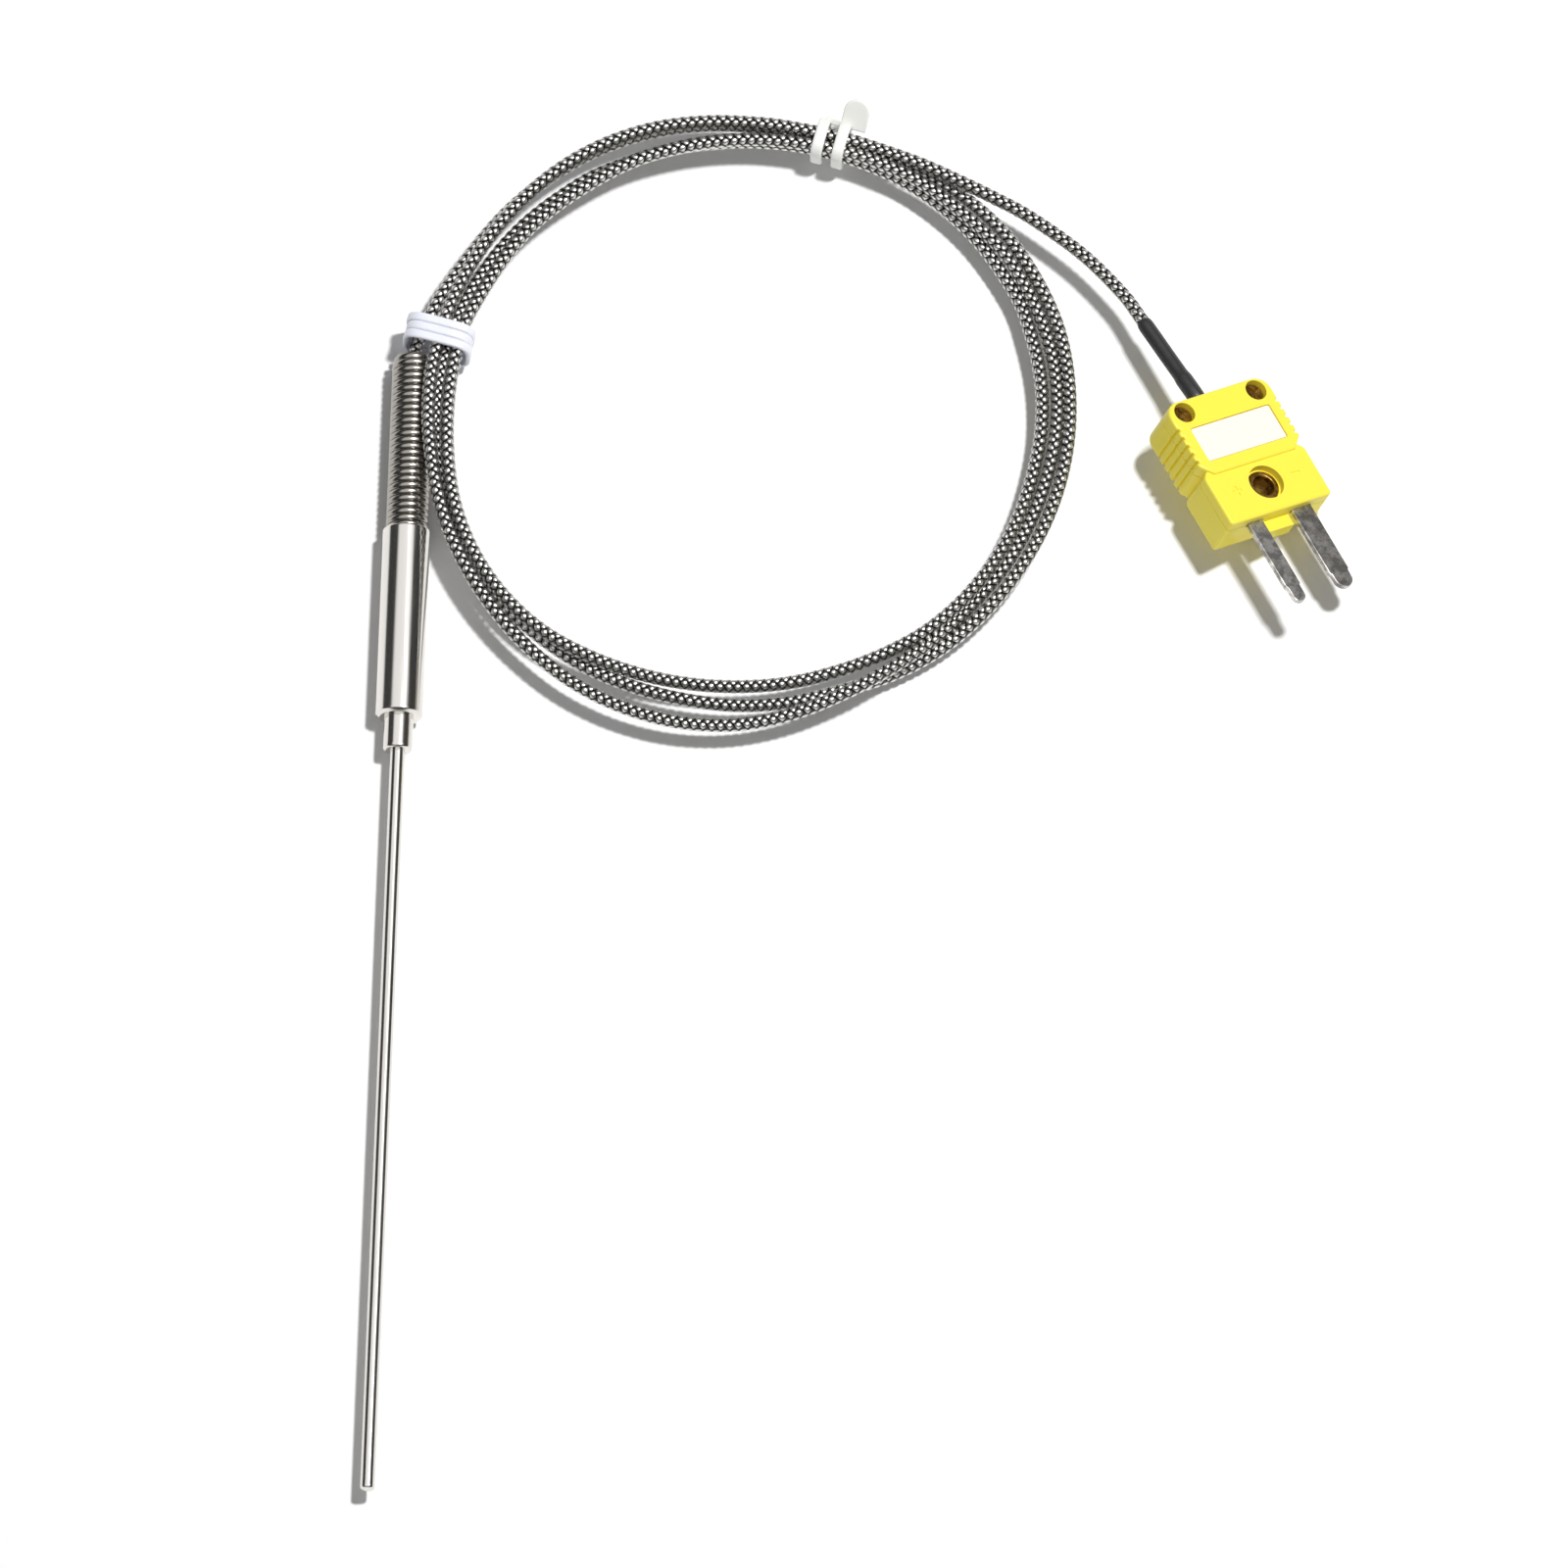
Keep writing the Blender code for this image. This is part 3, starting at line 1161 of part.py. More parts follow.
def build():
    for old in list(bpy.data.objects):
        bpy.data.objects.remove(old)

    steel = material("polished stainless steel", (0.62, 0.60, 0.57), 1.0, 0.18)
    spring_steel = material("spring steel", (0.55, 0.53, 0.50), 1.0, 0.28)
    powder = material("magnesia powder", (0.85, 0.84, 0.80), 0.0, 0.9)
    resin = material("potting resin", (0.12, 0.10, 0.09), 0.0, 0.5)
    tin = material("tinned copper", (0.72, 0.71, 0.68), 1.0, 0.35)
    braid = material("stainless braid", (0.58, 0.57, 0.55), 1.0, 0.35)
    rubber = material("black heat-shrink", (0.03, 0.03, 0.03), 0.0, 0.55)
    clear_nylon = material("clear nylon", (0.85, 0.85, 0.83), 0.0, 0.4)
    white_nylon = material("white plastic tie", (0.88, 0.88, 0.92), 0.0, 0.45)
    yellow = material("yellow moulded plastic", (0.93, 0.80, 0.12), 0.0, 0.45)
    paper = material("label panel", (0.95, 0.88, 0.78), 0.0, 0.6)
    brass = material("brass", (0.78, 0.60, 0.30), 1.0, 0.35)
    screw_steel = material("zinc-plated screw", (0.62, 0.58, 0.50), 1.0, 0.35)
    alloys = {
        "positive": material("nickel chromium alloy", (0.42, 0.40, 0.38), 1.0, 0.35),
        "negative": material("nickel aluminium alloy", (0.36, 0.34, 0.33), 1.0, 0.35),
    }

    make_sheath(steel)
    make_insulation(powder)
    make_conductors(alloys, tin)
    make_junction(tin)
    make_ferrule(steel)
    make_sleeve(steel)
    make_potting(resin)
    make_spring(spring_steel)

    frame = plug_frame()
    bpy.context.view_layer.update()
    pose: Matrix = frame.matrix_world
    entry = pose @ Vector((-PLUG_LENGTH / 2, CABLE_ENTRY_Y, PLUG_SPLIT))
    heading = (pose.to_3x3() @ Vector((1, 0, 0))).normalized()

    make_coil(braid)
    lead_out = make_leads(braid, entry, heading)
    make_shrink(rubber, lead_out)
    make_top_tie(clear_nylon)
    make_side_tie(white_nylon)

    make_base(yellow, frame)
    make_cover(yellow, frame)
    make_label(paper, frame)
    make_pins(alloys, frame)
    make_screws(brass, screw_steel, frame)
    make_eyelet(brass, frame)
    make_tails(alloys, frame)


build()
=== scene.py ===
# %% [markdown]
# # A thermocouple probe
# A thin metal-sheathed probe with a sleeve, a strain relief spring, a coiled braided cable and a
# miniature plug. The solid model is loaded first, because every piece drawn here has to sit inside
# it. Lengths are in metres, and MM turns a millimetre into one.

import math

import bmesh
import bpy
from mathutils import Euler, Matrix, Vector


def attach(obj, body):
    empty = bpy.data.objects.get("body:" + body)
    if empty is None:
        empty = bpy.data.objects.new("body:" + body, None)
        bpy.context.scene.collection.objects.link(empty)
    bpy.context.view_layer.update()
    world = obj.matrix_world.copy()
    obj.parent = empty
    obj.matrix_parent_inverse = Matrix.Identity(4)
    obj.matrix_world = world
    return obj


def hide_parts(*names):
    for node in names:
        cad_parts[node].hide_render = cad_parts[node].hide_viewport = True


MM = 0.001
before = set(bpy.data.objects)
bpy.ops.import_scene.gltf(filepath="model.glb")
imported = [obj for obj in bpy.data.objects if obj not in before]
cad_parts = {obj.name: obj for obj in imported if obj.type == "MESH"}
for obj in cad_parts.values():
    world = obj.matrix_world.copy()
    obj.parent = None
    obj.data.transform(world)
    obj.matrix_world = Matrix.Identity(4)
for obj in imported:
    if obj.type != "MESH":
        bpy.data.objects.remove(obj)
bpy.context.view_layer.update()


def place(name, data):
    """A new object in the scene."""
    made = bpy.data.objects.new(name, data)
    bpy.context.scene.collection.objects.link(made)
    return made


# %% [markdown]
# ## Camera
# The photograph is a product shot from above: the camera leans only 21.5 degrees towards the
# probe's tip. The far side of the coil is no smaller than the near side, so the lens is very long and
# stands far back.

# %% Point the camera
CAMERA_AIM = Vector((52.65, 23.0, 0.0)) * MM
CAMERA_TILT = math.radians(21.5)
CAMERA_TURN = math.radians(2.06)
CAMERA_REACH = 8888 * MM
CAMERA_LENS = 1500
CAMERA_SENSOR = 36
CAMERA_SIGHT = 20

camera_data = bpy.data.cameras.new("camera")
camera_data.lens = CAMERA_LENS
camera_data.sensor_width = CAMERA_SENSOR
camera_data.clip_end = CAMERA_SIGHT
camera = place("camera", camera_data)
camera.rotation_euler = Euler((CAMERA_TILT, 0, CAMERA_TURN))
back = camera.rotation_euler.to_matrix() @ Vector((0, 0, 1))
camera.location = CAMERA_AIM + back * CAMERA_REACH
bpy.context.scene.camera = camera
bpy.context.scene.view_settings.view_transform = "Standard"
print(f"camera {math.degrees(CAMERA_TILT):.1f} degrees off the vertical")

# %% [markdown]
# ## Materials
# Every finish is a node tree. One helper adds a node with its settings and links, and one turns
# the hex colours that people write into the linear ones that a shader reads. Real surfaces are
# never even, so most finishes also have fine noise and a bump made from it.


# %% Node and colour helpers
def hex_color(code):
    """An sRGB hex value as a linear colour."""
    channels = [int(code[i : i + 2], 16) / 255 for i in (0, 2, 4)]
    linear = [c / 12.92 if c <= 0.04045 else ((c + 0.055) / 1.055) ** 2.4 for c in channels]
    return (*linear, 1.0)


def node(tree, kind, inputs=None, **settings):
    """Add a node, set its properties, and give its inputs values or links."""
    made = tree.nodes.new(kind)
    for key, value in settings.items():
        setattr(made, key, value)
    for key, value in (inputs or {}).items():
        socket = made.inputs[key]
        if isinstance(value, bpy.types.NodeSocket):
            tree.links.new(value, socket)
        else:
            socket.default_value = value
    return made


def finish(name, color=None, **inputs):
    """A material with one Principled shader, and the tree to add detail to it."""
    if color:
        inputs["Base Color"] = hex_color(color)
    made = bpy.data.materials.new(name)
    made.use_nodes = True
    tree = made.node_tree
    tree.nodes.clear()
    shader = node(tree, "ShaderNodeBsdfPrincipled", inputs)
    node(tree, "ShaderNodeOutputMaterial", {"Surface": shader.outputs[0]})
    return made, tree, shader


def ramp(tree, source, stops):
    """Turn a value into a colour or a grey through stops of (value, colour)."""
    made = node(tree, "ShaderNodeValToRGB", {"Fac": source})
    points = made.color_ramp.elements
    while len(points) < len(stops):
        points.new(0.5)
    for point, (value, color) in zip(points, stops):
        point.position = value
        point.color = color if len(color) == 4 else (*color, 1.0)
    return made.outputs["Color"]


def grey(value):
    return (value, value, value, 1.0)


def noise(tree, scale, detail, **settings):
    """Noise in the space of the object."""
    where = node(tree, "ShaderNodeTexCoord")
    inputs = {"Vector": where.outputs["Object"], "Scale": scale, "Detail": detail, **settings}
    return node(tree, "ShaderNodeTexNoise", inputs).outputs[0]


def roughen(tree, shader, height, depth, strength):
    """Shade the surface as if this height value raised it by up to the depth."""
    inputs = {"Height": height, "Distance": depth, "Strength": strength}
    bump = node(tree, "ShaderNodeBump", inputs)
    tree.links.new(bump.outputs[0], shader.inputs["Normal"])


print("node and colour helpers")

# %% [markdown]
# ## Floor and light
# One firm light stands high on the right and throws a short, fairly crisp shadow to the left. An
# even room gives the rest. Polished metal mirrors what a product photographer puts round the table:
# a bright ceiling panel, dark walls, and the white sweep low down. Those draw the long light and
# dark bands on the rods.

# %% Floor, key light and room
KEY_TOWARDS = Vector((0.32, 0.16, 1.0)).normalized()
KEY_REACH = 1.3
FLOOR_HALF = 3
KEY_SIZE = 0.12
KEY_WATTS = 15.5
AMBIENT = 0.27
STUDIO_TOP = 1.0
STUDIO_WALL = 0.05
STUDIO_HORIZON = 0.9

floor_finish, _, floor_shader = finish("white paper", "FBFBFB", Roughness=0.9)
floor_shader.inputs["Specular IOR Level"].default_value = 0.2
floor_mesh = bpy.data.meshes.new("floor")
floor_corners = [(x * FLOOR_HALF, y * FLOOR_HALF, 0) for x, y in ((-1, -1), (1, -1), (1, 1), (-1, 1))]
floor_mesh.from_pydata(floor_corners, [], [(0, 1, 2, 3)])
floor_mesh.materials.append(floor_finish)
floor = place("floor", floor_mesh)

key_data = bpy.data.lights.new("key", "AREA")
key_data.size = KEY_SIZE
key_data.energy = KEY_WATTS
key = place("key", key_data)
key.location = CAMERA_AIM + KEY_TOWARDS * KEY_REACH
key.rotation_euler = KEY_TOWARDS.to_track_quat("Z", "Y").to_euler()

room = bpy.data.worlds.new("room")
room.use_nodes = True
bpy.context.scene.world = room
room_tree = room.node_tree
room_tree.nodes.clear()
direction = node(room_tree, "ShaderNodeTexCoord")
split = node(room_tree, "ShaderNodeSeparateXYZ", {"Vector": direction.outputs["Generated"]})
studio = ramp(
    room_tree,
    split.outputs["Z"],
    [
        (0.0, grey(STUDIO_HORIZON)),
        (0.02, grey(STUDIO_HORIZON)),
        (0.10, grey(STUDIO_WALL)),
        (0.68, grey(STUDIO_WALL)),
        (0.80, grey(STUDIO_TOP)),
    ],
)
rays = node(room_tree, "ShaderNodeLightPath")
mirrored = node(
    room_tree,
    "ShaderNodeMix",
    {"Factor": rays.outputs["Is Glossy Ray"], "A": grey(AMBIENT), "B": studio},
    data_type="RGBA",
)
plain = node(
    room_tree,
    "ShaderNodeMath",
    {0: rays.outputs["Is Camera Ray"], 1: rays.outputs["Is Transmission Ray"]},
    operation="MAXIMUM",
)
seen = node(
    room_tree,
    "ShaderNodeMix",
    {"Factor": plain.outputs[0], "A": mirrored.outputs["Result"], "B": grey(1.0)},
    data_type="RGBA",
)
sky = node(room_tree, "ShaderNodeBackground", {"Color": seen.outputs["Result"], "Strength": 1.0})
node(room_tree, "ShaderNodeOutputWorld", {"Surface": sky.outputs[0]})
print("floor, one lamp and the room")

# %% [markdown]
# ## Route of the cable
# The cable leaves the spring, makes three and a third turns and runs to the plug. The turns lie
# beside and on each other: two over two at the upper tie, two over one at the side tie, and side by
# side along the bottom of the picture, where the third turn climbs over the first and ends up
# outside it. The coil isn't quite round, as a coil wound by hand isn't.

# %% Sizes of the cable and its coil
CABLE_DIAMETER = 1.9 * MM
GAP = 0.3 * MM
PROBE_HALF = 82.95 * MM
AXIS_Z = 3.25 * MM
COIL_CENTRE_X = 46.1 * MM
COIL_CENTRE_Y = 74.4 * MM
COIL_LOW = 4.2 * MM
COIL_HIGH = 5.3 * MM
COIL_HIGH_AT = 30.0

# Each turn by degrees, radius and height off the bundle's middle, in millimetres
TURNS = (
    (
        (24, 45.3, -0.7), (30, 45.15, -0.9), (40, 45.0, -0.9), (50, 44.9, -0.95), (60, 44.8, -0.95),
        (70, 44.4, -0.95), (80, 43.8, -0.95), (90, 43.1, -0.97), (105, 43.0, -0.97),
        (115, 43.0, -0.97), (122, 43.4, -0.9), (130, 44.0, -0.6), (140, 44.25, -0.2), (150, 44.2, 0.0),
        (160, 44.2, 0.0), (170, 43.9, 0.0), (180, 43.6, 0.0), (190, 43.3, 0.0), (200, 43.0, 0.0),
        (210, 42.7, -0.1), (220, 42.4, -0.6), (230, 42.0, -1.4), (240, 41.5, -1.6),
        (250, 41.2, -1.0), (260, 41.6, -0.4), (270, 41.9, -0.1), (280, 42.0, 0.0), (290, 42.2, -0.2),
        (300, 42.4, -0.8), (310, 42.6, -0.95), (320, 43.0, -0.95), (330, 43.1, -0.9),
        (340, 43.1, -0.7), (350, 42.9, -0.2), (360, 42.6, 0.0),
    ),
    (
        (0, 42.6, 0.0), (10, 42.5, 0.0), (20, 42.4, -0.4), (30, 42.2, -0.75), (40, 42.0, -0.8),
        (50, 41.7, -0.85), (60, 41.5, -0.85), (75, 41.2, -0.95), (90, 41.0, -0.97),
        (105, 41.0, -0.97), (120, 41.1, -0.95), (135, 41.0, -0.95), (150, 40.8, -0.7),
        (160, 40.4, -0.3), (170, 40.15, 0.0), (180, 39.8, 0.0), (190, 39.4, 0.0), (200, 39.3, 0.2),
        (210, 39.3, 0.5), (220, 39.4, 0.75), (230, 39.25, 0.4), (240, 38.85, 0.1), (250, 38.7, 0.0),
        (260, 38.9, 0.0), (270, 39.15, 0.0), (280, 39.6, 0.0), (290, 40.3, 0.2), (300, 41.3, 0.8),
        (310, 42.2, 0.95), (320, 42.55, 0.95), (330, 42.5, 0.9), (340, 42.15, 0.9), (350, 41.5, 1.1),
        (360, 41.1, 1.25),
    ),
    (
        (0, 41.1, 1.25), (10, 41.0, 1.25), (20, 40.9, 1.0), (40, 40.7, 0.85), (60, 40.5, 0.85),
        (75, 40.5, 0.95), (90, 40.6, 0.97), (105, 40.9, 0.97), (115, 41.3, 0.95), (125, 41.7, 0.7),
        (140, 42.25, 0.5), (150, 42.35, 0.3), (160, 42.35, 0.1), (170, 42.2, 0.0), (180, 41.8, 0.0),
        (190, 41.35, -0.2), (200, 41.0, -0.4), (210, 40.7, -0.7), (220, 40.4, -0.85),
        (230, 40.7, -0.3), (236, 41.0, 0.3), (242, 41.5, 0.7), (250, 42.35, 0.8), (260, 43.6, 0.4),
        (270, 44.75, 0.0), (280, 45.4, 0.0), (290, 45.6, 0.0), (300, 45.5, 0.0), (310, 45.1, 0.1),
        (320, 44.7, 0.5), (330, 44.4, 0.8), (340, 44.1, 0.95), (350, 43.75, 1.2), (360, 43.75, 1.35),
    ),
    (
        (0, 43.75, 1.35), (10, 43.8, 1.25), (20, 43.85, 0.95), (30, 44.0, 0.8), (40, 44.2, 0.9),
        (50, 44.45, 0.95), (60, 44.5, 0.97), (70, 44.2, 0.97), (80, 43.55, 0.97), (90, 42.95, 0.97),
        (97, 42.7, 0.97), (105, 42.75, 0.97), (112, 43.0, 1.0), (120, 43.75, 1.1), (127, 44.7, 1.2),
        (134, 46.2, 1.3),
    ),
)
# The places just before the first turn, read in the same way
LEAD_IN_JOINS = ((15.5, 46.3, -1.3), (21.5, 45.75, -0.8))


def coil_point(angle, reach, lift):
    """The place at an angle and radius (mm) of the coil, off the bundle's middle height."""
    turn = math.radians(angle)
    raised = (1 + math.cos(turn - math.radians(COIL_HIGH_AT))) / 2
    height = COIL_LOW + (COIL_HIGH - COIL_LOW) * raised + lift * MM
    x = COIL_CENTRE_X - reach * MM * math.cos(turn)
    return Vector((x, COIL_CENTRE_Y + reach * MM * math.sin(turn), height))


def turns_at(angle):
    """Radius and height (mm) of each turn that the bundle has at this angle."""
    found = []
    for turn in TURNS:
        for (a, *start), (b, *end) in zip(turn, turn[1:]):
            if a <= angle < b:
                share = (angle - a) / (b - a)
                found.append([p + (q - p) * share for p, q in zip(start, end)])
    return found


print(sum(len(turn) for turn in TURNS), "places that the turns pass")


# %% Smooth paths
def step_between(value, start, end):
    """0 before the start, 1 past the end, and a smooth step between."""
    t = min(max((value - start) / (end - start), 0.0), 1.0)
    return t * t * (3 - 2 * t)


def smooth_path(knots, step):
    """Points about one step apart on a Catmull-Rom curve through the knots."""
    padded = [knots[0] * 2 - knots[1], *knots, knots[-1] * 2 - knots[-2]]
    path = []
    for i in range(1, len(padded) - 2):
        a, b, c, d = padded[i - 1 : i + 3]
        parts = max(1, round((c - b).length / step))
        for k in range(parts):
            t = k / parts
            linear = (c - a) * t
            square = (a * 2 - b * 5 + c * 4 - d) * t**2
            cube = (b * 3 - a - c * 3 + d) * t**3
            path.append((b * 2 + linear + square + cube) * 0.5)
    path.append(knots[-1])
    return path


def evenly(path, count):
    """The same path with its points an equal distance apart."""
    reached = [0.0]
    for a, b in zip(path, path[1:]):
        reached.append(reached[-1] + (b - a).length)
    spread = []
    i = 0
    for k in range(count):
        target = reached[-1] * k / (count - 1)
        while i < len(path) - 2 and reached[i + 1] < target:
            i += 1
        share = (target - reached[i]) / (reached[i + 1] - reached[i])
        spread.append(path[i].lerp(path[i + 1], min(max(share, 0.0), 1.0)))
    return spread, reached[-1]


# %% The plug's place and the whole route
PLUG_LENGTH = 19.6 * MM
PLUG_WIDTH = 17.3 * MM
PLUG_THICKNESS = 7.4 * MM
PLUG_SPLIT = 1.4 * MM
PLUG_EDGE = 0.3 * MM
CABLE_ENTRY_Y = -1.5 * MM
PLUG_ROLL = math.radians(-25.0)
PLUG_HEADING = math.radians(-59.0)
PLUG_CLEAR = 0.05 * MM
plug_height = (PLUG_WIDTH / 2 - PLUG_EDGE) * math.sin(-PLUG_ROLL)
plug_height += PLUG_THICKNESS / 2 * math.cos(PLUG_ROLL) + PLUG_CLEAR
plug_at = Vector((112.9 * MM, 69.5 * MM, plug_height))
PLUG_POSE = Matrix.LocRotScale(plug_at, Euler((PLUG_ROLL, 0, PLUG_HEADING)), None)
plug_entry = PLUG_POSE @ Vector((-PLUG_LENGTH / 2, CABLE_ENTRY_Y, PLUG_SPLIT))
plug_ahead = (PLUG_POSE.to_3x3() @ Vector((1, 0, 0))).normalized()

FINE_STEP = 0.4 * MM
BRAID_LAY = 3.6 * MM
SAMPLES_PER_LAY = 20

cable_knots = [
    Vector((0, PROBE_HALF - 8 * MM, AXIS_Z)),
    Vector((0, PROBE_HALF - 4 * MM, AXIS_Z)),
    Vector((0.15 * MM, PROBE_HALF + 0.5 * MM, AXIS_Z)),
    *[coil_point(*knot) for knot in LEAD_IN_JOINS],
]
for turn in TURNS:
    # A turn starts where the one before it ends.
    cable_knots += [coil_point(*knot) for knot in turn if knot[0] > turn[0][0]]
cable_knots += [
    Vector((83.4, 104.8, 6.0)) * MM,
    Vector((90.6, 99.6, 6.2)) * MM,
    Vector((96.2, 94.0, 6.4)) * MM,
    Vector((99.1, 89.9, 6.9)) * MM,
    Vector((103.1, 83.85, 7.85)) * MM,
    plug_entry - plug_ahead * 1.5 * MM,
    plug_entry,
    plug_entry + plug_ahead * 3.5 * MM,
]
fine_path = smooth_path(cable_knots, FINE_STEP)
rough_length = sum((b - a).length for a, b in zip(fine_path, fine_path[1:]))
cable_path, cable_length = evenly(fine_path, round(rough_length / BRAID_LAY * SAMPLES_PER_LAY))
print(f"cable {cable_length:.3f} m long, {len(cable_path)} points")

# %% [markdown]
# ## Winding with Geometry Nodes
# A braid is ribbons of fine wire wound both ways round a core, each passing over one ribbon of the
# other hand and under the next. A spring is one wire wound round nothing. Both follow one rule,
# so one node tree makes them: it copies the route once for each ribbon, moves every point out to
# its place on a helix, and skins the result.


# %% The winding tree
def winding_tree():
    """Wind a number of ribbons round a curve, with a wave that weaves them."""
    tree = bpy.data.node_groups.new("winding", "GeometryNodeTree")
    sockets = tree.interface
    sockets.new_socket("Geometry", in_out="INPUT", socket_type="NodeSocketGeometry")
    sockets.new_socket("Geometry", in_out="OUTPUT", socket_type="NodeSocketGeometry")
    for name, kind in (
        ("Carriers", "Int"),
        ("Lay", "Float"),
        ("Hand", "Float"),
        ("Radius", "Float"),
        ("Wave", "Float"),
        ("Ribbon Width", "Float"),
        ("Ribbon Thickness", "Float"),
        ("Profile Points", "Int"),
        ("Drawn In", "Float"),
        ("Drawn From", "Float"),
        ("Material", "Material"),
    ):
        sockets.new_socket(name, in_out="INPUT", socket_type=f"NodeSocket{kind}")

    def math_node(operation, a, b=0.0, c=0.0):
        return node(tree, "ShaderNodeMath", {0: a, 1: b, 2: c}, operation=operation).outputs[0]

    def scaled(vector, factor):
        inputs = {"Vector": vector, "Scale": factor}
        return node(tree, "ShaderNodeVectorMath", inputs, operation="SCALE").outputs[0]

    def stored(geometry, name, value, kind):
        inputs = {"Geometry": geometry, "Name": name, "Value": value}
        settings = {"data_type": kind, "domain": "POINT"}
        return node(tree, "GeometryNodeStoreNamedAttribute", inputs, **settings).outputs["Geometry"]

    asked = node(tree, "NodeGroupInput").outputs
    copies = node(
        tree,
        "GeometryNodeDuplicateElements",
        {"Geometry": asked["Geometry"], "Amount": asked["Carriers"]},
        domain="SPLINE",
    )
    index = copies.outputs["Duplicate Index"]
    along = node(tree, "GeometryNodeSplineParameter").outputs
    turns = math_node("DIVIDE", along["Length"], asked["Lay"])
    share = math_node("DIVIDE", index, asked["Carriers"])
    angle = math_node("MULTIPLY", math_node("MULTIPLY_ADD", turns, asked["Hand"], share), math.tau)

    # Over one, under one: a ribbon rises and dives once for every ribbon of its own hand.
    beat = math_node("MULTIPLY", turns, asked["Carriers"])
    wave = math_node("COSINE", math_node("MULTIPLY", beat, math.tau))
    rise = math_node("MULTIPLY", wave, asked["Hand"])
    lift = math_node("MULTIPLY", rise, asked["Wave"])

    drawn = node(
        tree,
        "ShaderNodeMapRange",
        {"Value": along["Length"], "From Min": asked["Drawn From"], "To Max": asked["Drawn In"]},
        interpolation_type="SMOOTHSTEP",
    )
    drawn.inputs["To Min"].default_value = 0.0
    end = node(tree, "GeometryNodeSplineLength").outputs["Length"]
    tree.links.new(end, drawn.inputs["From Max"])
    reach = math_node("SUBTRACT", math_node("ADD", asked["Radius"], lift), drawn.outputs["Result"])

    normal = node(tree, "GeometryNodeInputNormal").outputs[0]
    tangent = node(tree, "GeometryNodeInputTangent").outputs[0]
    side = node(tree, "ShaderNodeVectorMath", {0: tangent, 1: normal}, operation="CROSS_PRODUCT")
    outward = node(
        tree,
        "ShaderNodeVectorMath",
        {
            0: scaled(normal, math_node("COSINE", angle)),
            1: scaled(side.outputs[0], math_node("SINE", angle)),
        },
        operation="ADD",
    ).outputs[0]
    kept = node(tree, "GeometryNodeCaptureAttribute", {"Geometry": copies.outputs["Geometry"]})
    kept.domain = "POINT"
    kept.capture_items.new("VECTOR", "outward")
    kept.capture_items.new("FLOAT", "reach")
    kept.capture_items.new("FLOAT", "rise")
    for name, value in (("outward", outward), ("reach", reach), ("rise", rise)):
        tree.links.new(value, kept.inputs[name])
    moved = node(
        tree,
        "GeometryNodeSetPosition",
        {
            "Geometry": kept.outputs["Geometry"],
            "Offset": scaled(kept.outputs["outward"], kept.outputs["reach"]),
        },
    )
    faced = node(
        tree,
        "GeometryNodeSetCurveNormal",
        {"Curve": moved.outputs["Geometry"], "Normal": kept.outputs["outward"]},
        mode="FREE",
    )
    ring = node(
        tree,
        "GeometryNodeCurvePrimitiveCircle",
        {"Resolution": asked["Profile Points"], "Radius": 0.5},
    )
    shape = node(
        tree,
        "ShaderNodeCombineXYZ",
        {"X": asked["Ribbon Thickness"], "Y": asked["Ribbon Width"], "Z": 1.0},
    )
    sized = node(
        tree,
        "GeometryNodeTransform",
        {"Geometry": ring.outputs["Curve"], "Scale": shape.outputs[0]},
    )
    section = node(tree, "GeometryNodeInputPosition").outputs[0]
    profile = stored(sized.outputs["Geometry"], "across", section, "FLOAT_VECTOR")
    skin = node(
        tree,
        "GeometryNodeCurveToMesh",
        {
            "Curve": faced.outputs["Curve"],
            "Profile Curve": profile,
            "Fill Caps": True,
        },
    )
    risen = stored(skin.outputs["Mesh"], "rise", kept.outputs["rise"], "FLOAT")
    smooth = node(tree, "GeometryNodeSetShadeSmooth", {"Geometry": risen})
    solid = node(tree, "GeometryNodeRealizeInstances", {"Geometry": smooth.outputs["Geometry"]})
    coated = node(
        tree,
        "GeometryNodeSetMaterial",
        {"Geometry": solid.outputs["Geometry"], "Material": asked["Material"]},
    )
    node(tree, "NodeGroupOutput", {"Geometry": coated.outputs["Geometry"]})
    return tree


WINDING = winding_tree()


def wind(name, path, inputs):
    """A mesh wound along a path by the winding tree."""
    curve = bpy.data.curves.new(name, "CURVE")
    curve.dimensions = "3D"
    curve.twist_mode = "MINIMUM"
    spline = curve.splines.new("POLY")
    spline.points.add(len(path) - 1)
    for target, point in zip(spline.points, path):
        target.co = (*point, 1.0)
    guide = place(f"{name}_guide", curve)
    step = guide.modifiers.new("winding", "NODES")
    step.node_group = WINDING
    for item in WINDING.interface.items_tree:
        if item.in_out == "INPUT" and item.name in inputs:
            step[item.identifier] = inputs[item.name]
    bpy.context.view_layer.update()
    shape = guide.evaluated_get(bpy.context.evaluated_depsgraph_get())
    mesh = bpy.data.meshes.new_from_object(shape)
    bpy.data.objects.remove(guide)
    return place(name, mesh)


print("winding tree with", len(WINDING.nodes), "nodes")

# %% [markdown]
# ## Braid
# Stainless braid wire: bright, drawn, and laid flat in ribbons of six, three ribbons each way. A
# ribbon shines where it comes to the top. Where it dives, its colour is darkened as painted shade,
# which gives the rows of beads that a braid shows from afar. The grooves between the wires of a
# ribbon get painted shade too. The dark core shows in the small gaps.

# %% Braid wire and core finishes
WIRES_IN_RIBBON = 6
RIBBON_WIDTH = 0.92 * MM
RIBBON_THICKNESS = 0.26 * MM
BRAID_SWELL = 0.04 * MM
BRAID_WAVE = 0.14 * MM
CARRIERS = 3
CORE_DIAMETER = 1.25 * MM
CORE_STEP = 4

